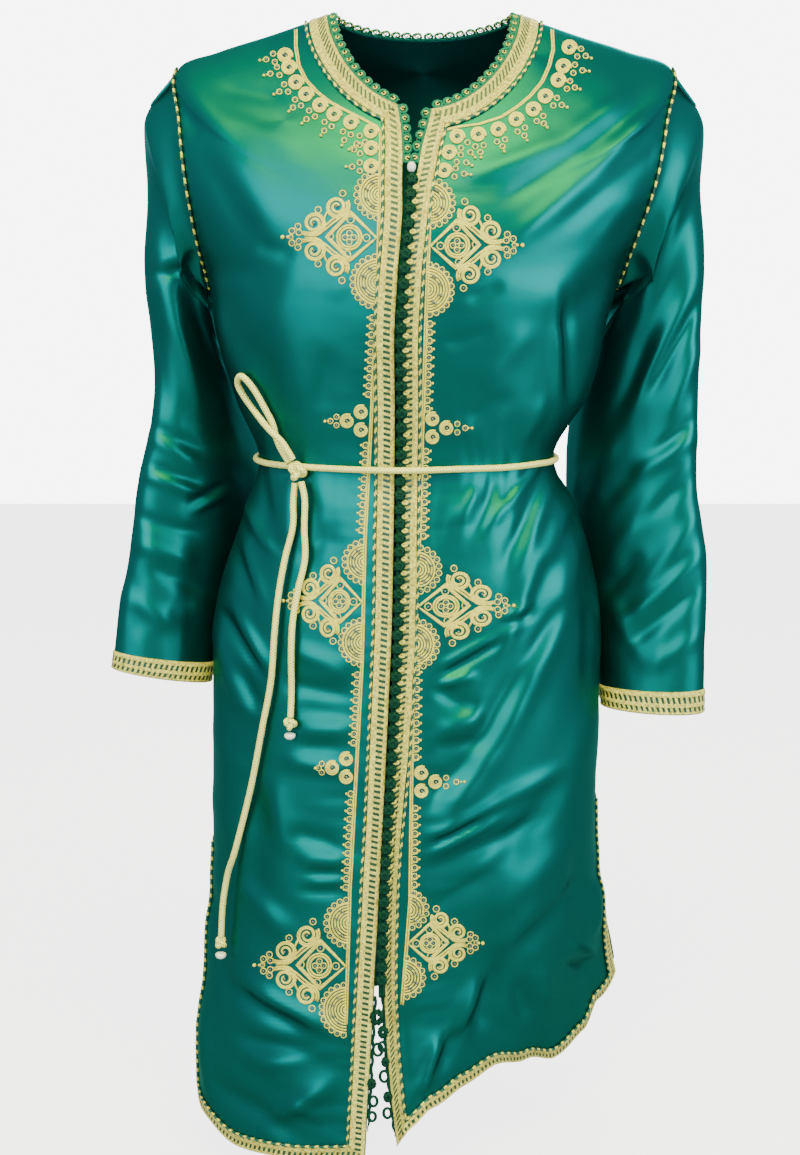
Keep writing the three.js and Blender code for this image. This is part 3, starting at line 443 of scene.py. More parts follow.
def grid_faces(rows, columns, joined=False, start=0, flip=False):
    i = np.arange(rows - 1)[:, None]
    j = np.arange(columns if joined else columns - 1)[None, :]
    k = (j + 1) % columns
    faces = np.stack([i * columns + j, i * columns + k, (i + 1) * columns + k, (i + 1) * columns + j], -1)
    faces = faces.reshape(-1, 4) + start
    return faces[:, ::-1] if flip else faces


def apply_modifiers(piece):
    bpy.ops.object.select_all(action="DESELECT")
    piece.select_set(True)
    bpy.context.view_layer.objects.active = piece
    for modifier in list(piece.modifiers):
        bpy.ops.object.modifier_apply(modifier=modifier.name)


def wall(piece, thickness):
    """Gives a sheet its thickness, inwards."""
    solid = piece.modifiers.new("wall", "SOLIDIFY")
    solid.thickness = thickness
    solid.offset = -1
    apply_modifiers(piece)


class Nodes:
    """Short way to add shader nodes and join them."""

    def __init__(self, name):
        self.material = bpy.data.materials.new(name)
        self.material.use_nodes = True
        self.tree = self.material.node_tree
        self.shader = self.tree.nodes["Principled BSDF"]

    def set(self, **values):
        for key, value in values.items():
            socket = self.shader.inputs[key.replace("_", " ")]
            socket.default_value = (*value, 1) if isinstance(value, tuple) and len(value) == 3 else value

    def add(self, kind, inputs=None, **settings):
        node = self.tree.nodes.new("ShaderNode" + kind)
        for key, value in settings.items():
            setattr(node, key, value)
        for key, value in (inputs or {}).items():
            if isinstance(value, bpy.types.NodeSocket):
                self.tree.links.new(value, node.inputs[key])
            else:
                node.inputs[key].default_value = value
        return node

    def maths(self, operation, a, b=0.0):
        return self.add("Math", {0: a, 1: b}, operation=operation).outputs[0]

    def blend(self, factor, a, b):
        a, b = ((*c, 1) if isinstance(c, tuple) and len(c) == 3 else c for c in (a, b))
        return self.add("Mix", {0: factor, 6: a, 7: b}, data_type="RGBA").outputs[2]

    def link(self, output, name):
        self.tree.links.new(output, self.shader.inputs[name])

    def bump(self, height, strength, distance):
        node = self.add("Bump", {"Height": height, "Strength": strength, "Distance": distance})
        self.link(node.outputs[0], "Normal")


def satin_material():
    satin = Nodes("emerald_satin")
    place = satin.add("TexCoord").outputs["Object"]
    cloud = satin.add("TexNoise", {"Vector": place, "Scale": 6.0, "Detail": 2.0}).outputs[0]
    colour = satin.blend(cloud, (0.0, 0.121, 0.107), (0.0, 0.107, 0.114))
    satin.link(colour, "Base Color")
    satin.set(Metallic=0.92, Roughness=0.39, Anisotropic=0.5, Anisotropic_Rotation=0.25,
              Specular_IOR_Level=0.1, Specular_Tint=(0.02, 0.6, 0.58))
    along = satin.add("UVMap", uv_map="UVMap").outputs[0]
    threads = satin.add("Mapping", {"Vector": along, "Scale": (900, 260, 1)})
    weave = satin.add("TexNoise", {"Vector": threads.outputs[0], "Scale": 1.0, "Detail": 1.0}).outputs[0]
    satin.bump(weave, 0.1, 0.0004)
    return satin.material


satin = satin_material()
fine_rows = []
for top, low in zip(range(HEM), range(1, HEM + 1)):
    edge = form("front", np.array([0.0, 0.95, 0.0, 0.95]), np.array([top, top, low, low], float))
    tall = max(np.linalg.norm(edge[2] - edge[0]), np.linalg.norm(edge[3] - edge[1]))
    fine_rows += list(np.linspace(top, low, max(3, round(tall / ROW_STEP)), endpoint=False))
fine_rows = np.array(fine_rows + [HEM], float)


def panel_piece(name, panel, columns):
    stops, lengths, start, end = walk(panel, fine_rows)
    distance = start[:, None] + (end - start)[:, None] * np.linspace(0, 1, columns)
    s = stops_at(distance, lengths, stops)
    face = "back" if panel == "back" else "front"
    points = cloth(face, s, fine_rows[:, None])
    down = running(points[:, columns // 2])
    uv = np.stack([distance, np.broadcast_to(down[:, None], distance.shape)], -1) / 1000
    faces = grid_faces(len(fine_rows), columns, flip=panel == "right")
    piece = mesh_piece(name, points.reshape(-1, 3), faces, satin, uv.reshape(-1, 2))
    return piece, points, faces


front_left, left_points, left_faces = panel_piece("satin_front_left", "left", 78)
front_right, right_points, right_faces = panel_piece("satin_front_right", "right", 78)
back = panel_piece("satin_back", "back", 104)[0]
left_count = left_points.shape[0] * left_points.shape[1]
front_points = np.concatenate([left_points.reshape(-1, 3), right_points.reshape(-1, 3)])
front_faces = np.concatenate([left_faces, right_faces + left_count]).tolist()
fronts = BVHTree.FromPolygons([Vector(p) for p in front_points], front_faces)
for piece, node in ((front_left, "front_left"), (front_right, "front_right"), (back, "back")):
    wall(piece, CLOTH_WALL)
    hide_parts(node)

# Satin sleeves
# Two long set-in sleeves of the same satin. Each is one width sewn to the armhole and closed
# under the arm; it is soft at the shoulder, creased at the elbow and straight at the wrist.
SLEEVE_COLUMNS = "ox oy oz ix iy iz deep".split()
SLEEVE_RINGS = {
    "left": np.array([
        [-243, 0, -61, -214, 4, -235, 54], [-257, 2, -97, -219, 18, -256, 47],
        [-249, 2, -155, -216, 42, -284, 34], [-254, 2, -215, -205, 62, -318, 31],
        [-251, 4, -285, -190, 80, -352, 30], [-253, 6, -355, -175, 88, -395, 29],
        [-270, 4, -425, -165, 82, -445, 29], [-280, 0, -490, -181, 66, -502, 28],
        [-293, -4, -553, -200, 46, -568, 27], [-301, -6, -608, -210, 26, -628, 26]], float),
    "right": np.array([
        [242, 0, -61, 197, 4, -235, 54], [257, 2, -97, 203, 18, -256, 47],
        [256, 2, -155, 188, 50, -284, 34], [261, 2, -215, 170, 72, -318, 31],
        [260, 4, -290, 155, 86, -352, 30], [261, 6, -360, 148, 88, -398, 29],
        [262, 4, -430, 148, 82, -452, 29], [274, 0, -505, 160, 66, -518, 28],
        [274, -4, -580, 172, 46, -588, 27], [275, -6, -652, 180, 26, -652, 26]], float),
}
CUFF = 10
# creases on the front of each sleeve, read from the photo like those of the fronts
SLEEVE_CREASES = {
    "left": (
        # sharp crease from the shoulder to the armpit
        (152, 112, 209, 270, 5, -5.0), (163, 112, 215, 240, 8, 3.0), (150, 150, 190, 270, 12, 2.6),
        (155, 275, 212, 262, 5, -4.0), (152, 262, 200, 250, 7, 2.4), (160, 290, 200, 410, 10, 3.6),
        (185, 285, 215, 390, 9, -4.4), (150, 320, 165, 420, 9, -2.2), (205, 330, 222, 430, 8, 2.6),
        (150, 430, 200, 455, 6, -2.4), (148, 440, 195, 470, 6, 2.2), (142, 478, 200, 500, 6, 3.2),
        (150, 468, 195, 488, 5, -2.6), (190, 516, 222, 500, 4, 2.6), (185, 506, 222, 490, 4, -2.2),
        (135, 520, 195, 540, 7, -3.2), (132, 545, 190, 566, 8, 3.0), (150, 570, 205, 600, 8, -2.8),
        (125, 600, 175, 630, 9, 2.6), (185, 610, 212, 630, 7, 2.0), (128, 580, 140, 640, 8, -1.8),
    ),
    "right": (
        (697, 122, 625, 292, 5, -5.0), (688, 112, 645, 215, 9, 2.8), (700, 150, 640, 330, 8, 3.6),
        (665, 110, 650, 180, 8, 2.2), (704, 300, 650, 400, 7, -4.2), (690, 300, 640, 410, 8, 3.4),
        (652, 330, 622, 450, 9, -3.4), (705, 345, 672, 420, 8, 3.0), (640, 400, 612, 470, 8, 2.6),
        (700, 420, 660, 455, 6, -2.4), (698, 440, 640, 480, 7, 2.6), (640, 470, 605, 520, 9, -3.0),
        (695, 480, 640, 530, 8, -2.6), (660, 500, 610, 580, 10, 3.2), (700, 520, 650, 590, 8, 2.4),
        (640, 560, 608, 610, 8, -2.8), (702, 560, 620, 636, 7, 3.2), (700, 590, 630, 652, 7, -3.4),
        (612, 600, 640, 660, 8, 2.0), (700, 640, 650, 672, 8, 2.4),
    ),
}
SLEEVE_DEPTH = -25  # y of the seen side of both sleeves


def seen_on_sleeve(px, py):
    return seen_at(px, py, SLEEVE_DEPTH)


SLEEVE_FOLDS = {
    side: np.array([crease(seen_on_sleeve, *reading) for reading in creases], float)
    for side, creases in SLEEVE_CREASES.items()
}
# where the inner fold of each sleeve swells towards the body: height, reach and how far
INNER_SWELL = {"left": ((-268, 62, 29), (-405, 50, 13)), "right": ((-248, 48, 28), (-310, 40, 4))}


def armhole_edge(side, turn, lift=0.0):
    turn = np.atleast_1d(np.asarray(turn, float)) % 360
    result = np.zeros((len(turn), 3))
    for face, here in (("front", (turn >= 90) & (turn <= 270)), ("back", (turn < 90) | (turn > 270))):
        t = turn[here]
        if not len(t):
            continue
        down = (t - 90) / 180 if face == "front" else ((450 - t) % 360) / 180
        v = 4 + 4 * np.clip(down, 0, 1)
        panel = side if face == "front" else "back"
        stops, lengths = walk(panel, v)[:2]
        if face == "front" or side == "right":
            distance = lengths[:, -1] - SEAM / 2
        else:
            distance = np.full(len(v), SEAM / 2)
        s = stops_at(distance, lengths, stops)
        result[here] = lifted(face, s, v, np.full(len(v), lift))[0]
    return result


def sleeve_form(side, rings, turn):
    """Plain form of the sleeve at arrays of rings (rows) and degrees round (columns)."""
    at = np.maximum(0, rings - 1)
    get = lambda name: column(SLEEVE_RINGS[side], SLEEVE_COLUMNS, name, at)
    outer = np.stack([get("ox"), get("oy"), get("oz")], -1)
    inner = np.stack([get("ix"), get("iy"), get("iz")], -1)
    middle, half = (outer + inner) / 2, (outer - inner) / 2
    sign = 1 if side == "left" else -1
    flat = unit(half * [1, 1, 0])
    away = np.stack([flat[..., 1], -flat[..., 0], np.zeros_like(at)], -1) * sign
    t = smooth((at + 0.4) / 3.4)[..., None]
    across = unit(np.array([0, 1.0, 0]) * (1 - t) + away * t)
    angle = np.radians(turn)
    return middle + half * np.sin(angle)[..., None] + across * (get("deep") * np.cos(angle))[..., None]


def sleeve_normal(surface, side, rings, turn):
    around = surface(rings, turn + 3) - surface(rings, turn - 3)
    along = surface(np.minimum(CUFF, rings + 0.05), turn) - surface(np.maximum(1, rings - 0.05), turn)
    return unit(np.cross(around, along)) * (-1 if side == "left" else 1)


def plain_sleeve(side):
    return lambda rings, turn: sleeve_form(side, rings, turn)


def sleeve_height(side, rings, turn, place):
    """How far creases lift the sleeve: the seen ones in front, the same ones lower behind."""
    x, z = place[..., 0], place[..., 2]
    towards_front = unit(sleeve_normal(plain_sleeve(side), side, np.maximum(1, rings), turn))[..., 1]
    facing = smooth(0.5 - 1.4 * towards_front)
    behind = fold_height(SLEEVE_FOLDS[side] * [1, 1, -1, 1, 1.5, 0.8], x, z + 30)
    out = fold_height(SLEEVE_FOLDS[side], x, z) * facing + behind * (1 - facing)
    seed = 21 if side == "left" else 31
    wave = np.sin(np.radians(turn)) * 2
    bend = noise(rings * 0.9, wave, seed)
    inner = np.exp(-((np.mod(turn, 360) - 272) / 34) ** 2)
    for level, reach, far in INNER_SWELL[side]:
        out += far * inner * np.exp(-((z - level) / reach) ** 2)
    out += 1.3 * noise(rings * 1.2 + bend + 0.5 * wave, wave * 1.2 + rings * 0.3, seed + 1)
    return out * smooth((rings - 0.8) / 0.9) * smooth((CUFF - rings) / 0.9)


def sleeve_cloth(side, rings, turn):
    rings, turn = np.broadcast_arrays(np.asarray(rings, float), np.asarray(turn, float))
    plain = plain_sleeve(side)
    out = sleeve_normal(plain, side, np.maximum(1, rings), turn)
    place = plain(rings, turn)
    return place + out * sleeve_height(side, rings, turn, place)[..., None]


HEAD = 2.0  # ring where the curve of the sleeve head ends


def sleeve_head(side, rings, turns):
    """Rounds the sleeve over from the armhole seam, level with the body, to its own form."""
    edge = armhole_edge(side, turns)
    through = armhole_edge(side, turns, 1.0) - edge
    along = np.roll(edge, -1, axis=0) - np.roll(edge, 1, axis=0)
    away = unit(np.cross(along, through)) * (1 if side == "left" else -1)
    end = sleeve_cloth(side, np.full((1, 1), HEAD), turns[None, :])[0]
    onward = end - sleeve_cloth(side, np.full((1, 1), HEAD - 0.05), turns[None, :])[0]
    span = np.linalg.norm(end - edge, axis=-1, keepdims=True)
    t = (rings / HEAD)[:, None, None]
    h = (2 * t ** 3 - 3 * t ** 2 + 1, t ** 3 - 2 * t ** 2 + t, 3 * t ** 2 - 2 * t ** 3, t ** 3 - t ** 2)
    return h[0] * edge + h[1] * away * span * 0.9 + h[2] * end + h[3] * unit(onward) * span


def sleeve_piece(side):
    head_rows = 26
    rings = np.concatenate([np.linspace(0, HEAD, head_rows, endpoint=False), np.linspace(HEAD, CUFF, 176)])
    turns = np.linspace(0, 360, 104, endpoint=False)
    columns = len(turns)
    points = sleeve_cloth(side, np.maximum(1, rings)[:, None], turns[None, :])
    points[:head_rows] = sleeve_head(side, rings[:head_rows], turns)
    down = running(points[:, columns // 2])
    girth = np.linspace(0, 0.32, columns)
    uv = np.stack(np.broadcast_arrays(girth[None, :], down[:, None] / 1000), -1)
    faces = grid_faces(len(rings), columns, joined=True, flip=side == "left")
    piece = mesh_piece(f"satin_sleeve_{side}", points.reshape(-1, 3), faces, satin, uv.reshape(-1, 2))
    wall(piece, CLOTH_WALL)
    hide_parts(f"sleeve_{side}")
    return piece


sleeve_left = sleeve_piece("left")
sleeve_right = sleeve_piece("right")

# Gold braid
# Flat braid of pale metallic thread, two solid borders with a ladder of green stitches
# between them, sewn on every edge and mitred at the corners. The cuffs have a double row.
BRAID_LIFT = 0.25
LADDER_PITCH = 5.3


def braid_material(name, ladders, rim):
    """Braid whose UV runs 0 to 1 across it and in millimetres along it. rim is its bound edge."""
    braid = Nodes(name)
    uv = braid.add("SeparateXYZ", {0: braid.add("UVMap", uv_map="UVMap").outputs[0]})
    across, along = uv.outputs["X"], uv.outputs["Y"]
    ladder = None
    for middle, half in ladders:
        off = braid.maths("SUBTRACT", across, middle)
        inside = braid.maths("LESS_THAN", braid.maths("ABSOLUTE", off), half)
        slant = braid.maths("MULTIPLY", off, 4.0)
        step = braid.maths("FRACT", braid.maths("DIVIDE", braid.maths("ADD", along, slant), LADDER_PITCH))
        dash = braid.maths("LESS_THAN", step, 0.5)
        green = braid.maths("MULTIPLY", inside, dash)
        ladder = green if ladder is None else braid.maths("MAXIMUM", ladder, green)
    bound = braid.maths("LESS_THAN", braid.maths("ABSOLUTE", braid.maths("SUBTRACT", across, rim)), 0.05)
    ladder = braid.maths("MAXIMUM", ladder, bound)
    thread = braid.add("CombineXYZ", {0: braid.maths("MULTIPLY", across, 17.0), 1: along})
    waves = {"Vector": thread.outputs[0], "Scale": 0.42, "Distortion": 1.2, "Detail": 1.0}
    plait = braid.add("TexWave", waves, wave_type="BANDS", bands_direction="DIAGONAL").outputs[1]
    place = braid.add("TexCoord").outputs["Object"]
    fleck = braid.add("TexNoise", {"Vector": place, "Scale": 480.0}).outputs[0]
    fleck = braid.maths("MULTIPLY", braid.maths("SUBTRACT", fleck, 0.38), 2.4)
    # Painted shade and highlight: the gold is dark in the plait's grooves and bright on its crests, where
    # the bump rises, and the flecks vary it at random.
    plait_shade_and_fleck = braid.maths("ADD", braid.maths("MULTIPLY", plait, 0.55), fleck)
    plait_shade_and_fleck = braid.add("Clamp", {0: plait_shade_and_fleck}).outputs[0]
    gold = braid.blend(plait_shade_and_fleck, (0.26, 0.21, 0.015), (1.0, 0.92, 0.20))
    braid.link(braid.blend(ladder, gold, (0.002, 0.05, 0.028)), "Base Color")
    braid.set(Metallic=0.15, Roughness=0.42)
    height = braid.maths("MULTIPLY", plait, braid.maths("SUBTRACT", 1.0, ladder))
    braid.bump(height, 0.7, 0.0008)
    return braid.material


gold_braid = braid_material("gold_braid", [(0.47, 0.19)], 0.0)
cuff_braid = braid_material("cuff_braid", [(0.3, 0.12), (0.7, 0.12)], 1.0)
# share of the way across a braid, and the height there in millimetres
BRAID_PROFILE = [
    (0, 0.0), (0.03, 0.8), (0.1, 1.2), (0.2, 1.25), (0.25, 1.0), (0.3, 0.7), (0.47, 0.75),
    (0.64, 0.7), (0.69, 1.0), (0.8, 1.25), (0.9, 1.2), (0.97, 0.8), (1, 0.0),
]
BRAID_WALL = 0.0006  # metres


def strip_mesh(pieces, name, material):
    """Joins strips of (points, uv) into one piece with the grid's own faces."""
    points, uvs, faces, start = [], [], [], 0
    for grid, uv, flip in pieces:
        rows, columns = grid.shape[:2]
        faces.append(grid_faces(rows, columns, start=start, flip=not flip))
        points.append(grid.reshape(-1, 3))
        uvs.append(uv.reshape(-1, 2))
        start += rows * columns
    piece = mesh_piece(name, np.concatenate(points), np.concatenate(faces), material, np.concatenate(uvs))
    wall(piece, BRAID_WALL)
    return piece


def band(panel, v, distance, across, flip, along):
    """A strip of braid over rows v and distances from the edge, both as grids, as is along."""
    s = places(panel, v[:, 0], distance) if np.ptp(v, axis=1).max() < 1e-9 else None
    if s is None:
        flat_v, flat_d = v.ravel(), distance.ravel()
        s = places(panel, flat_v, flat_d[:, None])[:, 0].reshape(v.shape)
    face = "back" if panel == "back" else "front"
    high = np.interp(across, *zip(*BRAID_PROFILE)) + BRAID_LIFT
    points, out = lifted(face, s, v, high)
    uv = np.stack([across, along], -1)
    return points, uv, flip


PROFILE_AT = np.array([p[0] for p in BRAID_PROFILE])
HEM_BRAID = 0.155


def neck_band(panel, steps):
    """Braid round the neckline, mitred at the front edge."""
    across = np.broadcast_to(PROFILE_AT, (steps, len(PROFILE_AT)))
    rows = np.linspace(0, 1, 13)
    first, last = walk(panel, rows)[2:]
    start, end = np.interp(PROFILE_AT, rows, first), np.interp(PROFILE_AT, rows, last)
    if panel != "back":
        start = start + BRAID_WIDTH * PROFILE_AT
    t = np.linspace(0, 1, steps)[:, None]
    distance = start + (end - start) * t
    return band(panel, across.copy(), distance, across, panel == "right", distance)


def front_band(panel):
    """Braid down a front edge, mitred into the neck and hem bands."""
    steps = 440
    t = np.linspace(0, 1, steps)[:, None]
    across = np.broadcast_to(PROFILE_AT, (steps, len(PROFILE_AT)))
    top, low = PROFILE_AT, HEM - HEM_BRAID * PROFILE_AT
    # rows are spaced evenly down the edge
    fine = np.linspace(0, HEM, 400)
    line = form("front", centre_front(fine), fine)
    down = running(line)
    even = np.interp(np.linspace(0, down[-1], steps), down, fine)[:, None] / HEM
    v = top + (low - top) * even
    distance = ring("gap", v) + BRAID_WIDTH * across
    return band(panel, v, distance, across, panel == "left", np.interp(v, fine, down))


def hem_band(panel, steps):
    across = np.broadcast_to(PROFILE_AT, (steps, len(PROFILE_AT)))
    v = HEM - HEM_BRAID * across
    rows = HEM - HEM_BRAID * PROFILE_AT
    first, last = walk(panel, rows)[2:]
    start, end = first + BRAID_WIDTH * PROFILE_AT, last - BRAID_WIDTH * PROFILE_AT
    t = np.linspace(0, 1, steps)[:, None]
    distance = start + (end - start) * t
    return band(panel, v, distance, across, panel != "right", distance)


def slit_band(panel, at_start):
    steps = 110
    across = np.broadcast_to(PROFILE_AT, (steps, len(PROFILE_AT)))
    t = np.linspace(0, 1, steps)[:, None]
    low = HEM - HEM_BRAID * PROFILE_AT
    v = SLIT_TOP + (low - SLIT_TOP) * t
    first, last = (edge.reshape(v.shape) for edge in walk(panel, v.ravel())[2:])
    distance = first + BRAID_WIDTH * across if at_start else last - BRAID_WIDTH * across
    return band(panel, v, distance, across, (panel == "right") != at_start, v * 116)


for side in ("left", "right"):
    bands = [neck_band(side, 110), front_band(side), hem_band(side, 150), slit_band(side, False)]
    braid = strip_mesh(bands, f"gold_braid_{side}", gold_braid)
    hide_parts(f"braid_{side}")
neck_back = strip_mesh([neck_band("back", 110)], "gold_braid_neck_back", gold_braid)
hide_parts("neck_braid_back")
bands = [hem_band("back", 260), slit_band("back", True), slit_band("back", False)]
hem_back = strip_mesh(bands, "gold_braid_hem_back", gold_braid)
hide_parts("hem_braid_back")


CUFF_BRAID = 0.4  # of the last stretch between two rings
CUFF_PROFILE = [
    (0, 0), (0.02, 0.9), (0.1, 1.25), (0.17, 1.2), (0.2, 0.8), (0.38, 0.8), (0.41, 1.2), (0.5, 1.3),
    (0.59, 1.2), (0.62, 0.8), (0.8, 0.8), (0.83, 1.2), (0.9, 1.25), (0.98, 0.9), (1, 0),
]


def cuff_band(side):
    turns = np.linspace(0, 360, 240, endpoint=False)
    at = np.linspace(0, 1, 19)
    rings = (CUFF - CUFF_BRAID + CUFF_BRAID * at)[:, None]
    high = np.interp(at, *zip(*CUFF_PROFILE)) + BRAID_LIFT
    surface = lambda r, t: sleeve_cloth(side, r, t)
    points = surface(rings, turns[None, :])
    out = sleeve_normal(surface, side, *np.broadcast_arrays(rings, turns[None, :]))
    points = points + out * high[:, None, None]
    girth = np.linalg.norm(np.diff(points[9], axis=0, append=points[9][:1]), axis=-1)
    along = np.concatenate([[0], np.cumsum(girth)[:-1]])
    uv = np.stack(np.broadcast_arrays(at[:, None], along[None, :]), -1)
    faces = grid_faces(len(at), len(turns), joined=True, flip=side == "left")
    name = f"gold_cuff_braid_{side}"
    piece = mesh_piece(name, points.reshape(-1, 3), faces, cuff_braid, uv.reshape(-1, 2))
    wall(piece, BRAID_WALL)
    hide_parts(f"cuff_braid_{side}")


for side in ("left", "right"):
    cuff_band(side)

# Armhole piping
# A thin cord twisted from a green and a gold strand is sewn on the body beside each armhole
# seam. It is 2.6 mm thick and lies flat on the satin.
PIPING = 2.6


def twist_material(name, dark, share):
    """Two-strand cord whose UV runs once round it and, in turns of the twist, along it."""
    twist = Nodes(name)
    uv = twist.add("SeparateXYZ", {0: twist.add("UVMap", uv_map="UVMap").outputs[0]})
    lean = twist.maths("MULTIPLY", uv.outputs["X"], 0.22)
    strand = twist.maths("FRACT", twist.maths("ADD", lean, uv.outputs["Y"]))
    fibre = twist.maths("SUBTRACT", uv.outputs["X"], uv.outputs["Y"])
    fibre = twist.maths("FRACT", twist.maths("MULTIPLY", fibre, 6.0))
    # Painted shade and highlight: each gold fibre runs from dark in its groove to bright on its crest, with
    # the same ramp as its bump.
    gold = twist.blend(fibre, (0.34, 0.28, 0.02), (1.0, 0.92, 0.20))
    twist.link(twist.blend(twist.maths("LESS_THAN", strand, share), gold, dark), "Base Color")
    twist.set(Metallic=0.25, Roughness=0.48)
    twist.bump(fibre, 0.35, 0.0004)
    return twist.material


twisted_cord = twist_material("twisted_green_and_gold", (0.001, 0.045, 0.03), 0.58)
edge_twist = twist_material("green_and_gold_edge_cord", (0.001, 0.085, 0.062), 0.6)


def frames_along(points, out, closed=False):
    """Unit ways along, out and across at each point of a line."""
    if closed:
        along = np.roll(points, -1, axis=0) - np.roll(points, 1, axis=0)
    else:
        along = np.gradient(points, axis=0)
    along = unit(along)
    out = unit(out - along * np.sum(out * along, axis=-1, keepdims=True))
    return along, out, np.cross(along, out)


def resample(points, step, closed=False):
    line = np.vstack([points, points[:1]]) if closed else points
    down = running(line)
    count = max(3, round(down[-1] / step))
    at = np.linspace(0, down[-1], count, endpoint=not closed)
    return np.stack([np.interp(at, down, line[:, k]) for k in range(3)], -1), at, down[-1]


def rope(points, out, radius, pitch, sides=8, step=1.0, lobes=2, depth=0.2, closed=False):
    """Points and UV of a twisted cord along a line, as grids. depth is how deep its grooves are."""
    both, at, total = resample(points, step, closed)
    line = np.vstack([points, points[:1]]) if closed else points
    ways = np.vstack([out, out[:1]]) if closed else out
    down = running(line)
    facing = np.stack([np.interp(at, down, ways[:, k]) for k in range(3)], -1)
    along, up, cross = frames_along(both, facing, closed)
    turns = max(1, round(total / pitch)) / total if closed else 1 / pitch
    share = np.arange(sides) / sides
    phase = (share[None, :] + at[:, None] * turns) * 2 * np.pi
    thick = radius * (1 - depth + depth * np.abs(np.cos(phase * lobes / 2)))
    angle = share[None, :] * 2 * np.pi
    around = up[:, None] * np.cos(angle)[..., None] + cross[:, None] * np.sin(angle)[..., None]
    grid = both[:, None] + around * thick[..., None]
    uv = np.stack(np.broadcast_arrays(share[None, :], (at * turns)[:, None]), -1)
    return grid, uv


def rope_mesh(grids, closed=False):
    """Points, UV and faces of ropes, with a seam column so that the UV runs once round."""
    points, uvs, faces, start = [], [], [], 0
    for grid, uv in grids:
        rows, sides = grid.shape[:2]
        grid = np.concatenate([grid, grid[:, :1]], axis=1)
        last = uv[:, :1] + [1.0, 0.0]
        uv = np.concatenate([uv, last], axis=1)
        if closed:
            grid = np.concatenate([grid, grid[:1]])
            step = uv[1:2, :, 1:] - uv[:1, :, 1:]
            tail = uv[-1:] + np.concatenate([np.zeros_like(step), step], -1)
            uv = np.concatenate([uv, tail])
        faces.append(grid_faces(len(grid), sides + 1, start=start))
        points.append(grid.reshape(-1, 3))
        uvs.append(uv.reshape(-1, 2))
        start += grid.shape[0] * (sides + 1)
    return np.concatenate(points), np.concatenate(uvs), np.concatenate(faces)


WELD = 0.00001  # metres


def weld(piece):
    """Joins points that lie together and turns every face outwards."""
    bm = bmesh.new()
    bm.from_mesh(piece.data)
    bmesh.ops.remove_doubles(bm, verts=bm.verts, dist=WELD)
    holes = [e for e in bm.edges if e.is_boundary]
    if holes:
        bmesh.ops.holes_fill(bm, edges=holes, sides=0)
    bmesh.ops.recalc_face_normals(bm, faces=bm.faces)
    bm.to_mesh(piece.data)
    bm.free()
    piece.data.polygons.foreach_set("use_smooth", [True] * len(piece.data.polygons))


def rope_piece(name, grids, material, closed=False):
    points, uvs, faces = rope_mesh(grids, closed)
    piece = mesh_piece(name, points, faces, material, uvs)
    weld(piece)
    return piece


for side in ("left", "right"):
    turns = np.linspace(0, 360, 180, endpoint=False)
    edge = armhole_edge(side, turns)
    middle = armhole_edge(side, turns, 1.0) - edge
    along = np.roll(edge, -1, axis=0) - np.roll(edge, 1, axis=0)
    inward = unit(np.cross(along, middle)) * (-1 if side == "left" else 1)
    line = edge + unit(middle) * (PIPING / 2 + 0.1) + inward * 2.6
    grids = [rope(line, middle, PIPING / 2, 11.5, closed=True)]
    piping = rope_piece(f"twisted_armhole_piping_{side}", grids, twisted_cord, closed=True)
    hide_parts(f"armhole_piping_{side}")

# Twisted cord beside the braids
# A green and gold cord is couched on the satin along the inner side of every flat braid, round
# each front from the neck to the slit, and round the back neck, slits and hem.
CORD_GAP = 1.5


def beside(panel, v, distance, radius=1.15):
    s = places(panel, v, distance[:, None])[:, 0]
    face = "back" if panel == "back" else "front"
    return lifted(face, s, v, np.full(len(v), radius + 0.1))


def front_cord(panel):
    """The line of the cord round a front: neck, front edge and hem."""
    neck_v = 1 + CORD_GAP / BRAID_WIDTH
    hem_v = HEM - HEM_BRAID * (1 + CORD_GAP / BRAID_WIDTH)
    inset = BRAID_WIDTH + CORD_GAP
    ends = walk(panel, np.array([neck_v, hem_v]))
    rows, distances = [], []
    for v, way in ((neck_v, 0), (hem_v, 1)):
        first, last = ends[2][way] + inset, ends[3][way] - (0 if way == 0 else inset)
        d = np.linspace(last, first, 60) if way == 0 else np.linspace(first, last, 80)
        rows.append(np.full(len(d), v))
        distances.append(d)
    v = np.linspace(neck_v, hem_v, 420)[1:-1]
    rows.insert(1, v)
    distances.insert(1, ring("gap", v) + inset)
    up = np.linspace(hem_v, SLIT_TOP, 50)[1:]
    rows.append(up)
    distances.append(walk(panel, up)[3] - inset)
    return beside(panel, np.concatenate(rows), np.concatenate(distances))


lines = [front_cord("left"), front_cord("right")]
neck_v = 1 + CORD_GAP / BRAID_WIDTH
v = np.full(90, neck_v)
ends = walk("back", v[:1])
lines.append(beside("back", v, np.linspace(ends[2][0], ends[3][0], 90)))
hem_v = HEM - HEM_BRAID * (1 + CORD_GAP / BRAID_WIDTH)
up = np.linspace(SLIT_TOP, hem_v, 50)
first, last = walk("back", up)[2] + BRAID_WIDTH + CORD_GAP, walk("back", up)[3] - BRAID_WIDTH - CORD_GAP
v = np.concatenate([up, np.full(150, hem_v), up[::-1]])
d = np.concatenate([first, np.linspace(first[-1], last[-1], 152)[1:-1], last[::-1]])
lines.append(beside("back", v, d))
grids = [rope(line, out, 1.5, 9.6, sides=6, step=1.3) for line, out in lines]
edge_cord = rope_piece("couched_edge_cord", grids, edge_twist)

# Silk knots of the closure
# A close row of 59 small button knots in dark green silk cord joins the fronts. Gold loops of
# the right front come through between them. The row stops above the hem.
KNOT_PITCH = 12.4
KNOT_SHIFT = 3.0
KNOT_TOP, KNOT_BOTTOM = -152.5, -884


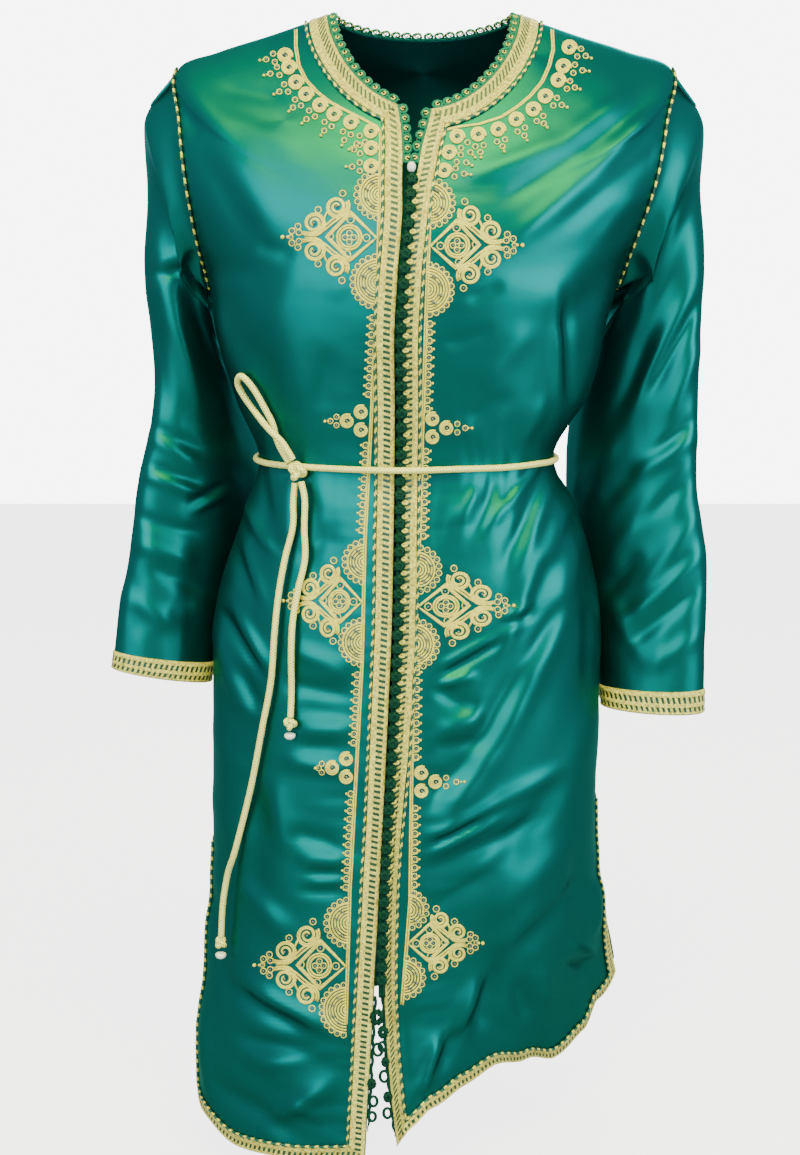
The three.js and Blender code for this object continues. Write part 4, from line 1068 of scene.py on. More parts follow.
def silk_material(name, dark, light):
    silk = Nodes(name)
    place = silk.add("TexCoord").outputs["Object"]
    grain = silk.add("TexNoise", {"Vector": place, "Scale": 420.0, "Detail": 2.0}).outputs[0]
    silk.link(silk.blend(silk.maths("MULTIPLY", grain, 0.9), dark, light), "Base Color")
    silk.set(Roughness=0.5, Specular_IOR_Level=0.1)
    silk.bump(grain, 0.5, 0.0006)
    return silk.material


gold_thread = silk_material("embroidery_gold_cord", (0.36, 0.29, 0.02), (1.0, 0.92, 0.20))
gold_thread.node_tree.nodes["Principled BSDF"].inputs["Metallic"].default_value = 0.12
green_silk = silk_material("dark_green_silk", (0.0, 0.014, 0.008), (0.0, 0.05, 0.028))


def axes(out):
    """Rows are the ways across, into and up a spot whose cloth faces out."""
    across = unit(np.cross(np.array([0, 0, 1.0]), -out))
    return np.stack([across, -out, np.cross(-out, across)])


def row_at_height(z):
    """Row whose centre front lies at each height."""
    low, high = np.zeros_like(z), np.full_like(z, HEM)
    for _ in range(30):
        v = (low + high) / 2
        above = form("front", centre_front(v), v)[:, 2] > z
        low, high = np.where(above, v, low), np.where(above, high, v)
    return low


def tube_points(line, out, radius, sides):
    """Rings of points round a line; radius may change along it."""
    along, up, cross = frames_along(line, out)
    angle = np.arange(sides) / sides * 2 * np.pi
    way = up[:, None] * np.cos(angle)[None, :, None] + cross[:, None] * np.sin(angle)[None, :, None]
    return line[:, None] + way * np.asarray(radius, float).reshape(-1, 1, 1)


def knot_curve(steps, wide, tall, thick, turns=(3, 5)):
    """Closed line wound over a low ball about the origin: x across, y out and z up."""
    t = np.linspace(0, 2 * np.pi, steps, endpoint=False)
    around, up = turns[0] * t, 1.05 * np.sin(turns[1] * t)
    x, z = wide * np.cos(up) * np.cos(around), tall * np.cos(up) * np.sin(around)
    return np.stack([x, -thick * np.sin(up), z], -1)


def closed_tube(line, radius, sides):
    along = np.roll(line, -1, axis=0) - np.roll(line, 1, axis=0)
    middle = line.mean(axis=0)
    away = unit(line - middle)
    along = unit(along)
    up = unit(away - along * np.sum(away * along, axis=-1, keepdims=True))
    cross = np.cross(along, up)
    angle = np.arange(sides) / sides * 2 * np.pi
    way = up[:, None] * np.cos(angle)[None, :, None] + cross[:, None] * np.sin(angle)[None, :, None]
    return line[:, None] + way * radius


def ring_faces(rows, sides, start):
    i, j = np.arange(rows)[:, None], np.arange(sides)[None, :]
    ni, nj = (i + 1) % rows, (j + 1) % sides
    faces = np.stack([i * sides + j, i * sides + nj, ni * sides + nj, ni * sides + j], -1)
    return faces.reshape(-1, 4) + start


class Gather:
    """Collects many small shapes into one piece."""

    def __init__(self):
        self.points, self.faces, self.count = [], [], 0

    def rings(self, grid, closed=False):
        rows, sides = grid.shape[:2]
        if closed:
            self.faces += ring_faces(rows, sides, self.count).tolist()
        else:
            self.faces += grid_faces(rows, sides, joined=True, start=self.count).tolist()
            first = self.count
            last = self.count + (rows - 1) * sides
            self.faces.append([first + j for j in range(sides)][::-1])
            self.faces.append([last + j for j in range(sides)])
        self.points.append(grid.reshape(-1, 3))
        self.count += rows * sides

    def shape(self, points, faces):
        self.faces += [[k + self.count for k in f] for f in faces]
        self.points.append(points)
        self.count += len(points)

    def piece(self, name, material, slot_name):
        piece = mesh_piece(name, np.concatenate(self.points), self.faces, material)
        bm = bmesh.new()
        bm.from_mesh(piece.data)
        bmesh.ops.recalc_face_normals(bm, faces=bm.faces)
        bm.to_mesh(piece.data)
        bm.free()
        return piece


knots = Gather()
knot_z = np.arange(KNOT_TOP, KNOT_BOTTOM, -KNOT_PITCH)
knot_rows = row_at_height(knot_z)
knot_s = places("right", knot_rows, np.full((len(knot_rows), 1), KNOT_SHIFT))[:, 0]
knot_base, knot_out = lifted("front", knot_s, knot_rows, np.full(len(knot_z), 4.6))
button = knot_curve(60, 4.5, 4.5, 2.4)
CORE = {"across": 4.4, "deep": 2.4}
ball_rows = np.radians([12, 50, 90, 130, 168])[:, None]
turn = np.arange(10) / 10 * 2 * np.pi
core = np.stack(np.broadcast_arrays(
    CORE["across"] * np.sin(ball_rows) * np.cos(turn), -CORE["deep"] * np.cos(ball_rows),
    CORE["across"] * np.sin(ball_rows) * np.sin(turn)), -1)
for place, out in zip(knot_base, knot_out):
    knots.rings(closed_tube(button @ axes(out) + place, 1.35, 5), closed=True)
    knots.rings(core @ axes(out) + place)
spine_z = np.arange(KNOT_TOP + 5, KNOT_BOTTOM - 6, -3.25)
spine_rows = row_at_height(spine_z)
spine_s = places("right", spine_rows, np.full((len(spine_rows), 1), KNOT_SHIFT))[:, 0]
spine, spine_out = lifted("front", spine_s, spine_rows, np.full(len(spine_z), 2.6))
for sign in (1, -1):
    knots.rings(tube_points(spine + [sign * 1.5, 0, 0], spine_out, 1.9, 6))
closure = knots.piece("silk_closure_knots", green_silk, "silk")
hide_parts("closure_knots")

# the gold loops of the right front come through between the knots
loops = Gather()
loop_rows = row_at_height(knot_z[:-1] - KNOT_PITCH / 2)
loop_s = places("right", loop_rows, np.full((len(loop_rows), 1), KNOT_SHIFT + 3.9))[:, 0]
loop_base, loop_out = lifted("front", loop_s, loop_rows, np.full(len(loop_rows), 3.4))
turn = np.linspace(0, 2 * np.pi, 12, endpoint=False)
small_loop = np.stack([2.3 * np.cos(turn), 0 * turn, 1.3 * np.sin(turn)], -1)
for place, out in zip(loop_base, loop_out):
    loops.rings(closed_tube(small_loop @ axes(out) + place, 1.1, 6), closed=True)
loops.piece("gold_closure_loops", gold_thread, "gold")

# Bead at the neck
# One oval pearl-white bead closes the top of the row. It is drilled and sewn on with green silk.
def pearl_material():
    pearl = Nodes("pearl_white")
    place = pearl.add("TexCoord").outputs["Object"]
    cloud = pearl.add("TexNoise", {"Vector": place, "Scale": 260.0, "Detail": 1.0}).outputs[0]
    pearl.link(pearl.blend(cloud, (0.62, 0.64, 0.60), (0.86, 0.86, 0.80)), "Base Color")
    pearl.set(Roughness=0.22, Coat_Weight=0.6, Coat_Roughness=0.12)
    return pearl.material


pearl_white = pearl_material()


def primitive(name, material):
    """Takes over the active primitive: its place goes into its mesh, and it rides on the body."""
    piece = bpy.context.object
    piece.name = name
    bpy.ops.object.transform_apply(location=True, rotation=True, scale=True)
    piece.data.materials.clear()
    piece.data.materials.append(material)
    piece.data.polygons.foreach_set("use_smooth", [True] * len(piece.data.polygons))
    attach(piece, "root")
    return piece


DRILLED = 0.0012  # metres, the reach of the drilled dimple at both ends
low, high = (Vector(p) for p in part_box("neck_bead"))
bpy.ops.object.select_all(action="DESELECT")
bpy.ops.mesh.primitive_uv_sphere_add(segments=28, ring_count=18, radius=0.0041, location=(low + high) / 2)
bpy.context.object.scale = (0.92, 0.92, 1.12)
bead = primitive("neck_bead_pearl", pearl_white)
for corner in bead.data.vertices:
    off = (Vector((corner.co.x, corner.co.y)) - Vector(((low + high) / 2)[:2])).length
    if off < DRILLED:
        inwards = -1 if corner.co.z > (low.z + high.z) / 2 else 1
        corner.co.z += inwards * DRILLED * (1 - off / DRILLED)
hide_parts("neck_bead")

# Crochet edging of the neck
# A narrow scalloped edging, crocheted in green silk with a gold thread, stands up from the
# neckline and turns down into the notch. Each scallop is a ring with a small curl inside.
SCALLOP_PITCH = 10.5
edging_gold = silk_material("crochet_gold_thread", (0.34, 0.28, 0.03), (0.9, 0.8, 0.2))
edging_green = silk_material("crochet_green_silk", (0.002, 0.075, 0.04), (0.012, 0.21, 0.115))


def spread(ways, count):
    """The same ways, spread evenly over a number of points."""
    at, held = np.linspace(0, 1, count), np.linspace(0, 1, len(ways))
    return unit(np.stack([np.interp(at, held, ways[:, k]) for k in range(3)], -1))


def scallops(line, up, out, green, gold, seed):
    """Crochet scallops along a line; up points away from the cloth's edge."""
    line, at, total = resample(line, 0.8)
    up, out = spread(up, len(line)), spread(out, len(line))
    green.rings(tube_points(line + up * 0.8, out, 1.35 + 0.25 * np.sin(at * 2.4), 7))
    count = max(1, round(total / SCALLOP_PITCH))
    for k in range(count):
        i = min(len(line) - 1, int((k + 0.5) / count * len(line)))
        tangent = unit(line[min(i + 1, len(line) - 1)] - line[max(i - 1, 0)])
        rise = unit(up[i] - tangent * np.dot(up[i], tangent))
        face = np.cross(tangent, rise)
        wobble = 0.3 * math.sin(k * 2.1 + seed)
        centre = line[i] + rise * 4.3
        t = np.linspace(0, 2 * np.pi, 16, endpoint=False)[:, None]
        hoop = np.cos(t) * tangent * (3.9 + wobble) + np.sin(t) * rise * 3.2
        big = centre + hoop + face * 0.35 * np.cos(3 * t)
        green.rings(closed_tube(big, 1.25, 6), closed=True)
        t = np.linspace(0.6 + seed, 5.6 + seed, 10)[:, None]
        behind = face * 0.9 * np.sign(np.dot(face, -out[i]))
        curl = centre + (np.cos(t) * tangent + np.sin(t) * rise) * 1.6 - behind
        gold.rings(tube_points(curl, np.broadcast_to(out[i], curl.shape), 0.62, 5))
        for step in range(5):
            a = math.radians(25 + 32 * step)
            spot = centre + (tangent * math.cos(a) * (4.1 + wobble) + rise * math.sin(a) * 3.4)
            spoke = tangent * math.cos(a) + rise * math.sin(a)
            stitch = np.stack([spot - out[i] * 1.3 + spoke * d for d in (-1.1, 0, 1.1)])
            if step % 2 == k % 2:
                gold.rings(tube_points(stitch, np.broadcast_to(out[i], stitch.shape), 0.45, 5))


def neck_line(face, first, last, count):
    s = np.linspace(first, last, count)
    rim, out = lifted(face, s, np.zeros(count), np.full(count, -0.6))
    up = unit(cloth(face, s, np.zeros(count)) - cloth(face, s, np.full(count, 0.3)))
    return rim, up, out


def notch_line(side):
    """Down the front edge beside the notch."""
    v = np.linspace(0.02, 2.75, 40)
    s = places(side, v, ring("gap", v)[:, None])[:, 0]
    rim, out = lifted("front", s, v, np.full(40, -0.4))
    up = np.broadcast_to(np.array([1.0 if side == "left" else -1.0, 0, 0.15]), rim.shape)
    return rim, up, out


for side, sign in (("left", -1), ("right", 1)):
    green, gold = Gather(), Gather()
    start = places(side, np.zeros(1), ring("gap", np.zeros(1))[:, None] + 2)[0, 0]
    scallops(*neck_line("front", start, 0.985 * sign, 80), green, gold, 0.4)
    line, up, out = notch_line(side)
    tight = line - np.array([1.0 if side == "left" else -1.0, 0, 0]) * 0.6
    scallops(tight, up * 0.8, out, green, gold, 1.1)
    edging = green.piece(f"crochet_edging_{side}", edging_green, "silk")
    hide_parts(f"neck_edging_{side}")
    gold.piece(f"crochet_gold_{side}", edging_gold, "gold")
green, gold = Gather(), Gather()
scallops(*neck_line("back", -0.985, 0.985, 110), green, gold, 0.7)
edging = green.piece("crochet_edging_back", edging_green, "silk")
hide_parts("neck_edging_back")
gold.piece("crochet_gold_back", edging_gold, "gold")

# Green loops of the lower fronts
# Below the last knot each front edge carries on with a green silk cord that is tied into small
# knots and open loops, which are left undone so that the tunic can open when its wearer walks.
LOWER_SPOTS = {
    "left": {
        "knots": [(-905, 7.5), (-972, 4.2)],
        "loops": [(-938, 6), (-988, 5), (-1004, 4.5)],
        "end": -1020,
    },
    "right": {
        "knots": [(-926, 5.5), (-955, 4), (-992, 4.5)],
        "loops": [(-940, 4.5), (-972, 5.5), (-1008, 5)],
        "end": -1034,
    },
}
for side, sign in (("left", 1), ("right", -1)):
    loops = Gather()
    spots = LOWER_SPOTS[side]
    z = np.arange(-886.0, spots["end"], -2.5)
    rows = row_at_height(z)
    s = places(side, rows, ring("gap", rows)[:, None] - 1.4)[:, 0]
    line, out = lifted("front", s, rows, np.full(len(z), -0.3))
    line = line + np.stack([sign * 0.6 * np.sin(z / 2.3), 0 * z, 0 * z], -1)
    loops.rings(tube_points(line, out, 1.7 * np.clip((z - spots["end"]) / 14, 0.3, 1), 6))
    for height, reach in spots["loops"]:
        i = int(np.argmin(np.abs(z - height)))
        t = np.linspace(0, 2 * np.pi, 18, endpoint=False)[:, None]
        centre = line[i] + np.array([sign * reach * 0.75, 0, 0])
        hoop = centre + np.cos(t) * np.array([reach * 0.72, 0, 0]) + np.sin(t) * np.array([0, 0, reach])
        loops.rings(closed_tube(hoop, 1.5, 6), closed=True)
    for height, size in spots["knots"]:
        i = int(np.argmin(np.abs(z - height)))
        small = knot_curve(60, size * 0.8, size, 1.8)
        loops.rings(closed_tube(small + line[i] + np.array([sign * 1.6, -1.2, 0]), 1.5, 6), closed=True)
    piece = loops.piece(f"silk_lower_loops_{side}", green_silk, "silk")
    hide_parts(f"lower_loops_{side}")

# Embroidery of the fronts
# Couched gold cord with small grey-blue glass beads: spiral discs with pointed tips round the
# neck, three scrolled medallions on each front edge, smaller trefoils and a beaded picot
# border between them. Every motif is drawn in the photo's plane and laid on the satin.
EMBROIDERY_CORD = 1.0


def photo_ray(px, py):
    x = (px - PHOTO["width"] / 2) / PHOTO["focal"]
    up = -(py - PHOTO["height"] / 2) / PHOTO["focal"]
    c, s = math.cos(CAMERA["down"]), math.sin(CAMERA["down"])
    return Vector((x, c + up * s, -s + up * c)).normalized()


EYE = Vector((CAMERA["x"], CAMERA["y"], CAMERA["z"]))


def on_satin(px, py, lift):
    """Point over the satin that the photo shows at a pixel, and the way out of the cloth."""
    place, normal, _, _ = fronts.ray_cast(EYE, photo_ray(px, py))
    if place is None:
        place, normal, _, _ = fronts.find_nearest(EYE + photo_ray(px, py) * 1480)
    if normal.y > 0:
        normal = -normal
    return np.array(place + normal * lift), np.array(normal)


corded, beaded = Gather(), Gather()


def stroke(points, size=EMBROIDERY_CORD, closed=False, sides=5):
    """Lays a cord along photo points."""
    spots = [on_satin(x, y, size * 0.55) for x, y in points]
    line, out = np.array([p for p, _ in spots]), np.array([n for _, n in spots])
    if closed:
        grid = tube_points(np.vstack([line, line[:2]]), np.vstack([out, out[:2]]), size, sides)[:-1]
        corded.rings(grid[:-1], closed=True)
    else:
        corded.rings(tube_points(line, out, size, sides))


def circle(cx, cy, r, steps=12, size=EMBROIDERY_CORD):
    t = np.linspace(0, 2 * np.pi, steps, endpoint=False)
    stroke(np.stack([cx + r * np.cos(t), cy + r * np.sin(t)], -1), size, closed=True)


BALL_SIDES = 6


def ball(cx, cy, r, into, lift=0.5):
    """A bead or a small worked knot: a low ball on the cloth."""
    place, out = on_satin(cx, cy, r * lift)
    across = unit(np.cross(np.array([0, 0, 1.0]), out))
    up = np.cross(out, across)
    t = (np.arange(BALL_SIDES) / BALL_SIDES * 2 * np.pi)[:, None]
    level = np.cos(t) * across + np.sin(t) * up
    rows = []
    for tilt in (20, 65, 110, 160):
        a = math.radians(tilt)
        rows.append(place + out * r * math.cos(a) + r * math.sin(a) * level)
    into.rings(np.array(rows))


def spiral(cx, cy, r_in, r_out, turns, start, steps):
    t = np.linspace(0, 1, int(steps * turns))
    a = start + 2 * np.pi * turns * t
    r = r_in + (r_out - r_in) * t
    return np.stack([cx + r * np.cos(a), cy + r * np.sin(a)], -1)


def bead_ring(cx, cy, r=2.7):
    circle(cx, cy, r, 8, 0.6)
    ball(cx, cy, 1.15, beaded)


def disc(cx, cy, r, beads=2):
    """A coiled disc of cord with beads at its middle."""
    turns = r / 2.9
    stroke(spiral(cx, cy, 2.4, r - 0.9, turns, 0.4, 17), 0.95)
    for k in range(beads):
        ball(cx + (k - (beads - 1) / 2) * 2.6, cy + (k - 0.5) * 1.2, 1.25, beaded, 1.0)


def tip(cx, cy, tx, ty, r):
    """The pointed end of a disc: two bead rings, a third and a ball at the point."""
    d = np.array([tx - cx, ty - cy], float)
    length = np.linalg.norm(d)
    d /= length
    n = np.array([-d[1], d[0]])
    base = np.array([cx, cy], float)
    for side in (-1, 1):
        bead_ring(*(base + d * (r + 2.6) + n * side * 4.2), 2.6)
    bead_ring(*(base + d * (r + (length - r) * 0.62)), 2.6)
    ball(tx, ty, 1.5, corded)
    ball(*(base + d * (length - 3.2)), 1.1, corded)


NECK_DISCS = {
    "left": [
        (285, 56, 260, 61), (289, 68, 264, 76), (296, 83, 274, 95), (306, 95, 289, 112),
        (320, 106, 302, 124), (334, 115, 321, 136), (351, 123, 342, 146), (371, 132, 352, 148),
        (371, 149, 349, 150), (371, 167, 346, 167),
    ],
    "right": [
        (569, 48, 591, 59), (563, 67, 589, 72), (558, 81, 580, 90), (545, 97, 567, 108),
        (533, 110, 547, 128), (516, 120, 527, 141), (498, 130, 504, 152), (478, 135, 481, 158),
        (457, 137, 475, 158), (449, 153, 472, 166), (444, 171, 471, 175),
    ],
}
for side in ("left", "right"):
    for cx, cy, tx, ty in NECK_DISCS[side]:
        disc(cx, cy, 8.6)
        tip(cx, cy, tx, ty, 8.6)

# the plain line of cord beside the braid, from the neck to the last medallion
EDGE_LINE = {
    "left": [
        (297, 30), (297, 47), (300, 66), (307, 80), (318, 92), (331, 102), (346, 110), (362, 118),
        (377, 126), (382, 134), (381, 175), (378, 309), (366, 541), (363, 665), (351, 890),
        (347, 1024),
    ],
    "right": [
        (551, 30), (552, 50), (548, 66), (541, 82), (529, 96), (516, 107), (500, 117), (478, 124),
        (456, 127), (441, 131), (436, 147), (430, 182), (425, 315), (418, 545), (412, 660),
        (409, 900), (401, 1004),
    ],
}


def along_line(side, y):
    """Photo x of the edge line at a height, with the front edge's own slope."""
    points = np.array([p for p in EDGE_LINE[side] if p[1] >= 130], float)
    return float(np.interp(y, points[:, 1], points[:, 0]))


for side in ("left", "right"):
    points = np.array(EDGE_LINE[side], float)
    down = running(points)
    even = np.linspace(0, down[-1], int(down[-1] / 4))
    path = np.stack([np.interp(even, down, points[:, k]) for k in (0, 1)], -1)
    away = -1 if side == "left" else 1
    stroke(path, 0.75)
    stroke(path + [away * 2.0, 0.6], 0.75)


def half_rosette(side, x, y, r):
    """Half a disc against the edge line: coiled cord, paired beads and a rim of bead rings."""
    away = -1 if side == "left" else 1
    for k, size in enumerate(np.arange(2.6, r - 5.0, 2.85)):
        t = np.linspace(-np.pi / 2, np.pi / 2, max(7, int(size * 1.3)))
        stroke(np.stack([x + away * (size * np.cos(t) + 0.5), y + size * np.sin(t)], -1), 0.95)
    for turn in (-62, -22, 22, 62):
        a = math.radians(turn)
        for k in (-1.3, 1.3):
            bx, by = x + away * (r * 0.5 * math.cos(a) + 1), y + r * 0.52 * math.sin(a)
            ball(bx + k, by + k * 0.6, 1.25, beaded, 1.5)
    count = int(round(np.pi * (r - 2.6) / 6.6))
    for k in range(count):
        a = -np.pi / 2 + np.pi * (k + 0.5) / count
        bead_ring(x + away * (r - 2.6) * math.cos(a), y + (r - 2.6) * math.sin(a), 2.8)

# middle of each spiral of a medallion, the way it turns and where it starts, in degrees
SCROLLS = ((42.5, 30, -1, 150), (65, 13.5, 1, -60))


def medallion(side, y_top, y_low, tip_x, tip_y):
    """A scrolled medallion on the edge line. Its own sizes are 97 by 134 and are scaled."""
    away = -1 if side == "left" else 1
    cy = tip_y + 2 * (y_low - y_top) / 134
    base = along_line(side, cy)
    sx, sy = abs(tip_x - base) / 97, (y_low - y_top) / 134

    def at(u, w):
        lean = along_line(side, cy + w * sy) - base
        return base + away * u * sx + lean * max(0.0, 1 - u / 60), cy + w * sy

    def scroll(points, closed=False, size=EMBROIDERY_CORD):
        stroke([at(u, w) for u, w in points], size, closed)

    for w, r in ((-42, 26), (45, 28)):
        x, y = at(0.5, w)
        half_rosette(side, x, y, r * (sx + sy) / 2)
    # the diamond, drawn twice so that its cord is double
    for grow in (0, 2.4):
        corners = np.array([(3, 1), (29, -23 - grow), (51 + grow, 0), (29, 22 + grow), (3, 1)], float)
        line = np.concatenate([np.linspace(a, b, 8)[:-1] for a, b in zip(corners, corners[1:])])
        scroll(line, closed=True)
    for radius in (12.2, 9.6):
        t = np.linspace(0, 2 * np.pi, 24, endpoint=False)
        scroll(np.stack([30 + radius * np.cos(t), 0.6 + radius * np.sin(t)], -1), closed=True)
    for u, w in ((13, 1), (49, -0.5), (29, -17), (32, 17.5)):
        bead_ring(*at(u, w), 3.6)
    for turn in (0, 90, 180, 270):
        a = math.radians(turn)
        bead_ring(*at(30 + 4.4 * math.cos(a), 0.6 + 4.4 * math.sin(a)), 2.8)
    # two S scrolls above and below, each with a spiral at both ends
    for up in (-1, 1):
        for u, w, way, start in SCROLLS:
            for thick in (0, 2.4):
                t = np.linspace(0, 1, 36)
                a = math.radians(start) * up + way * up * 2 * np.pi * 2.0 * t
                r = 2.3 + (10.4 - 2.3 + thick) * t
                scroll(np.stack([u + r * np.cos(a), up * w + r * np.sin(a)], -1))
            ball(*at(u, up * w), 1.3, beaded, 1.2)
        strands = (
            [(30.6, 28), (31.8, 24.5), (37, 20.5), (46, 14), (53.5, 7.5), (60, 3.5), (68, 1.4), (74, 1.4)],
            [(32, 29.5), (33.8, 27), (39, 23), (48, 16.5), (55, 10), (61, 5.5), (69, 3.6), (76, 5)],
            [(52, 25), (54.5, 20), (55.5, 15), (58, 9.5), (63, 4.5), (72, 2.6), (77, 3)],
        )
        for strand in strands:
            scroll([(u, up * w) for u, w in strand])
        for u, w in ((37, 43.5), (61, 27)):
            bead_ring(*at(u, up * w), 3.2)
        for u, w in ((87, 6.0), (81, 10.5), (80, 4.5)):
            bead_ring(*at(u, up * w), 3.0)
    ball(*at(91, 0), 1.5, corded)
    ball(*at(96, 0), 2.0, corded)
    bead_ring(*at(88, 0), 2.2)


def trefoil(side, y, reach, size=8.0):
    """A small motif on the edge line: three coiled discs and a pointed tip."""
    away = -1 if side == "left" else 1
    x = along_line(side, y)
    for u, w in ((11, -9), (11, 9), (25, 0)):
        disc(x + away * u, y + w, size, 1)
    tip(x + away * 25, y, x + away * reach, y, size)


MEDALLIONS = {
    "left": [(175, 309, 282, 235), (541, 665, 283, 599), (890, 1024, 254, 963)],
    "right": [(182, 315, 523, 243), (545, 660, 515, 604), (900, 1004, 483, 941)],
}
PICOT = ((2.4, 4.2), (4.5, 3.4), (7.2, 3.0), (8.4, 1.2))
TREFOILS = {"left": [(421, 47), (768, 42)], "right": [(428, 50), (782, 54)]}
for side in ("left", "right"):
    for spot in MEDALLIONS[side]:
        medallion(side, *spot)
    for y, reach in TREFOILS[side]:
        trefoil(side, y, reach)
    away = -1 if side == "left" else 1
    taken = [(top - 3, low + 3) for top, low, _, _ in MEDALLIONS[side]]
    taken += [(y - 19, y + 19) for y, _ in TREFOILS[side]]
    end = MEDALLIONS[side][-1][0]
    for y in np.arange(MEDALLIONS[side][0][1], end, 8.5):
        if any(a < y < b for a, b in taken):
            continue
        x = along_line(side, y)
        bead_ring(x + away * 5.2, y, 2.7)
        ball(x + away * 9.6, y, 1.3, corded)
        stroke([(x + away * u, y + w) for u, w in PICOT], 0.55)

glass = Nodes("grey_blue_glass_beads")
glass.set(Base_Color=(0.10, 0.14, 0.17), Roughness=0.12, Metallic=0.4, Coat_Weight=0.5)
corded.piece("gold_cord_embroidery", gold_thread, "gold")
beaded.piece("embroidery_beads", glass.material, "pearl")

# Cord belt
# One braided cord of cream-gold metallic thread, 6 mm thick, goes once round the waist and is
# tied on the left in a half knot with one free loop above. Its two tails hang down the skirt,
# and each ends in a small knot with a pearl-white cap.
BELT_CORD = 6.0
BELT_HEIGHT = -402
BELT_KNOT = {"x": -114, "z": -405, "half": (9.5, 7.5, 10.0)}
BELT_ROUTES = {
    "belt_loop": [
        (-118.5, -391, 13), (-127, -379, 14), (-136, -370.5, 14), (-144, -362.5, 11.5),
        (-155, -350, 7), (-164, -338, 5.5), (-168, -328.5, 5.5), (-165.5, -321.5, 6),
        (-160, -323.5, 6), (-152, -334, 5.5), (-143, -350, 5), (-136.5, -363, 5),
        (-133.5, -375, 5.5), (-129.5, -385, 8.5), (-124, -395, 12),
    ],
    "belt_tail_short": [
        (-109, -416, 9), (-107, -430, 8), (-107, -455, 7), (-107, -483, 7), (-113, -509, 7),
        (-118, -537, 7), (-120, -567, 7), (-120, -602, 7), (-121, -627, 7),
    ],
    "belt_tail_long": [
        (-117, -417, 9), (-117, -432, 8), (-118, -455, 7), (-125, -482, 8), (-131, -514, 8),
        (-135, -549, 8), (-139, -595, 7), (-148, -641, 7), (-160, -700, 7), (-176, -762, 8),
        (-184, -788, 9), (-190, -820, 9), (-192, -853, 9),
    ],
}


def belt_material():
    belt = Nodes("cream_gold_belt_cord")
    uv = belt.add("SeparateXYZ", {0: belt.add("UVMap", uv_map="UVMap").outputs[0]})
    waves = []
    for way in (1.0, -1.0):
        turn = belt.maths("MULTIPLY", uv.outputs["Y"], way)
        phase = belt.maths("MULTIPLY", belt.maths("ADD", uv.outputs["X"], turn), 4 * 2 * math.pi)
        waves.append(belt.maths("SINE", phase))
    crossing = {0: belt.maths("MAXIMUM", *waves), 1: 0.5, 2: 0.5}
    weave = belt.add("Math", crossing, operation="MULTIPLY_ADD").outputs[0]
    # Painted shade and highlight: the gold is dark where the weave sinks and bright where its strands cross
    # over, where the bump rises.
    belt.link(belt.blend(weave, (0.38, 0.33, 0.04), (1.0, 0.94, 0.28)), "Base Color")
    belt.set(Metallic=0.1, Roughness=0.45)
    belt.bump(weave, 0.6, 0.0008)
    return belt.material


belt_gold = belt_material()


def on_front(x, z, lift):
    """Point over the front with that x and z at its lift, and the way out of the cloth."""
    aim_x, aim_z = x, z
    for _ in range(3):
        place, normal, _, _ = fronts.ray_cast(Vector((aim_x, -400, aim_z)), Vector((0, 1, 0)))
        normal = normal if normal.y < 0 else -normal
        spot = place + normal * lift
        aim_x, aim_z = aim_x + x - spot.x, aim_z + z - spot.z
    return np.array(spot), np.array(normal)


def curve_through(points, step):
    """Smooth line through points, one point every step."""
    points = np.asarray(points, float)
    ends = np.vstack([2 * points[0] - points[1], points, 2 * points[-1] - points[-2]])
    t = np.linspace(0, len(points) - 1, len(points) * 24)
    i = np.minimum(t.astype(int), len(points) - 2)
    f = (t - i)[:, None]
    a, b, c, d = (ends[i + k] for k in range(4))
    return resample(spline(a, b, c, d, f), step)[0]


knot_spot, knot_way = on_front(BELT_KNOT["x"], BELT_KNOT["z"], BELT_KNOT["half"][1] + 1.8)


def to_knot(point):
    away = point - knot_spot
    reach = np.sqrt(np.sum((away / BELT_KNOT["half"]) ** 2))
    return knot_spot + away / reach + unit(away) * 0.9


def belt_piece(name, line, out):
    grid, uv = rope(line, out, BELT_CORD / 2, 11.0, sides=12, step=1.2, lobes=8, depth=0.05)
    piece = rope_piece(name, [(grid, uv)], belt_gold)
    return piece


tail_ends = {}
for name, route in BELT_ROUTES.items():
    spots = [on_front(*spot) for spot in route]
    points = [p for p, _ in spots]
    points[0] = to_knot(points[0])
    if name == "belt_loop":
        points[-1] = to_knot(points[-1])
    line = curve_through(points, 1.2)
    way = np.broadcast_to(knot_way, line.shape)
    tail = belt_piece(name + "_cord", line, way)
    tail_ends[name] = (tail, line)
    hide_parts(name)

# the ring round the waist stands a little higher where it crosses the braid and the knots
belt_row = float(row_at_height(np.array([float(BELT_HEIGHT)]))[0])


WAIST_STRETCHES = (("front", -0.58, 0.97, 110), ("back", 0.97, -0.97, 120), ("front", -0.97, -0.56, 34))


def waist_line():
    points, ways = [], []
    for face, first, last, count in WAIST_STRETCHES:
        s = np.linspace(first, last, count)
        rows = np.full(count, belt_row)
        plain = cloth(face, s, rows)
        d = np.abs(plain[:, 0] - ring("cf", rows) - 3)
        over = 1.5 * smooth((38 - d) / 12) + 5.5 * smooth((22 - d) / 12) if face == "front" else 0 * s
        p, out = lifted(face, s, rows, BELT_CORD / 2 + 0.6 + over)
        points.append(p)
        ways.append(out)
    points, ways = np.concatenate(points), np.concatenate(ways)
    for _ in range(30):
        points[1:-1] = (points[:-2] + 2 * points[1:-1] + points[2:]) / 4
    return points, unit(ways)


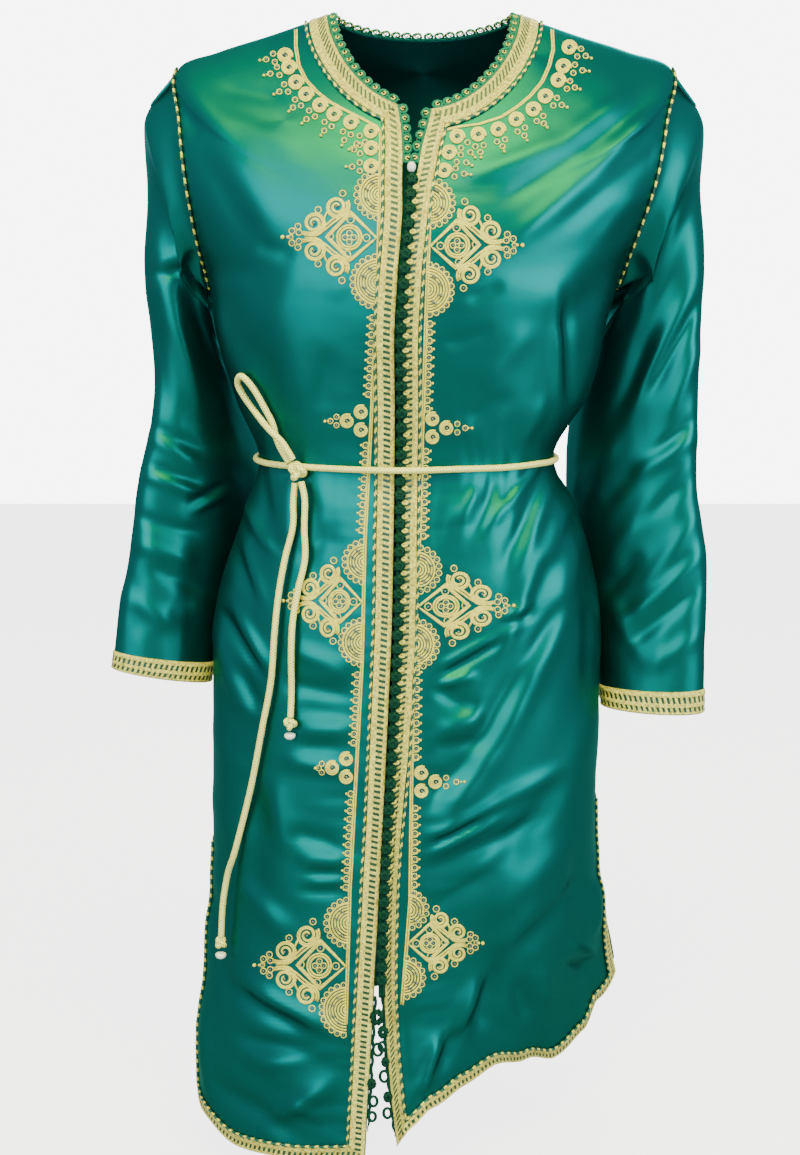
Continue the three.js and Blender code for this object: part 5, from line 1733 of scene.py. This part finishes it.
ring_line, ring_out = waist_line()
away = np.linalg.norm((ring_line - knot_spot) / (np.array(BELT_KNOT["half"]) - 3), axis=-1)
start = int(np.argmax(away[:120] > 1))
waist_cord = belt_piece("belt_waist_cord", ring_line[start:], ring_out[start:])
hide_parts("belt_waist")


def overhand(scale, thick, spin):
    """Closed line of a three-way knot, turned in its own plane."""
    t = np.linspace(0, 2 * np.pi, 90, endpoint=False)
    x = np.sin(t) + 2 * np.sin(2 * t)
    z = np.cos(t) - 2 * np.cos(2 * t)
    y = -np.sin(3 * t) * thick
    c, s = math.cos(spin), math.sin(spin)
    return np.stack([scale * (c * x - s * z), y, scale * (s * x + c * z)], -1)


def knot_piece(name, place, way, scale, thick, radius, spin):
    line = overhand(scale, thick, spin)
    line = line @ axes(way) + place
    away = unit(line - place)
    grid, uv = rope(line, away, radius, 11.0, sides=12, step=1.0, lobes=8, depth=0.05, closed=True)
    piece = rope_piece(name, [(grid, uv)], belt_gold, closed=True)
    return piece


knot = knot_piece("belt_half_knot", knot_spot, knot_way, 2.25, 3.0, 3.0, 0.5)
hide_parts("belt_knot")

CAP_SHOULDER = 0.0012  # metres above a cap's middle, where its flattened top starts
for name, spin in (("short", 0.2), ("long", 0.9)):
    tail, line = tail_ends[f"belt_tail_{name}"]
    down = unit(line[-1] - line[-6])
    place = line[-1] + down * 5.6
    end_knot = knot_piece(f"tail_end_knot_{name}", place, knot_way, 1.45, 2.2, 2.4, spin)
    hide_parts(f"tail_knot_{name}")
    low, high = (Vector(p) * 1000 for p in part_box(f"tail_cap_{name}"))
    cap_place = (low + high) / 2
    bpy.ops.object.select_all(action="DESELECT")
    bpy.ops.mesh.primitive_uv_sphere_add(segments=24, ring_count=16, radius=0.0052,
                                         location=cap_place / 1000)
    bpy.context.object.scale = (1, 1, 0.78)
    cap = primitive(f"pearl_cap_{name}", pearl_white)
    crown = cap_place.z / 1000 + CAP_SHOULDER
    for corner in cap.data.vertices:
        if corner.co.z > crown:
            corner.co.z = crown + (corner.co.z - crown) * 0.45
    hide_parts(f"tail_cap_{name}")
tail, line = tail_ends["belt_loop"]
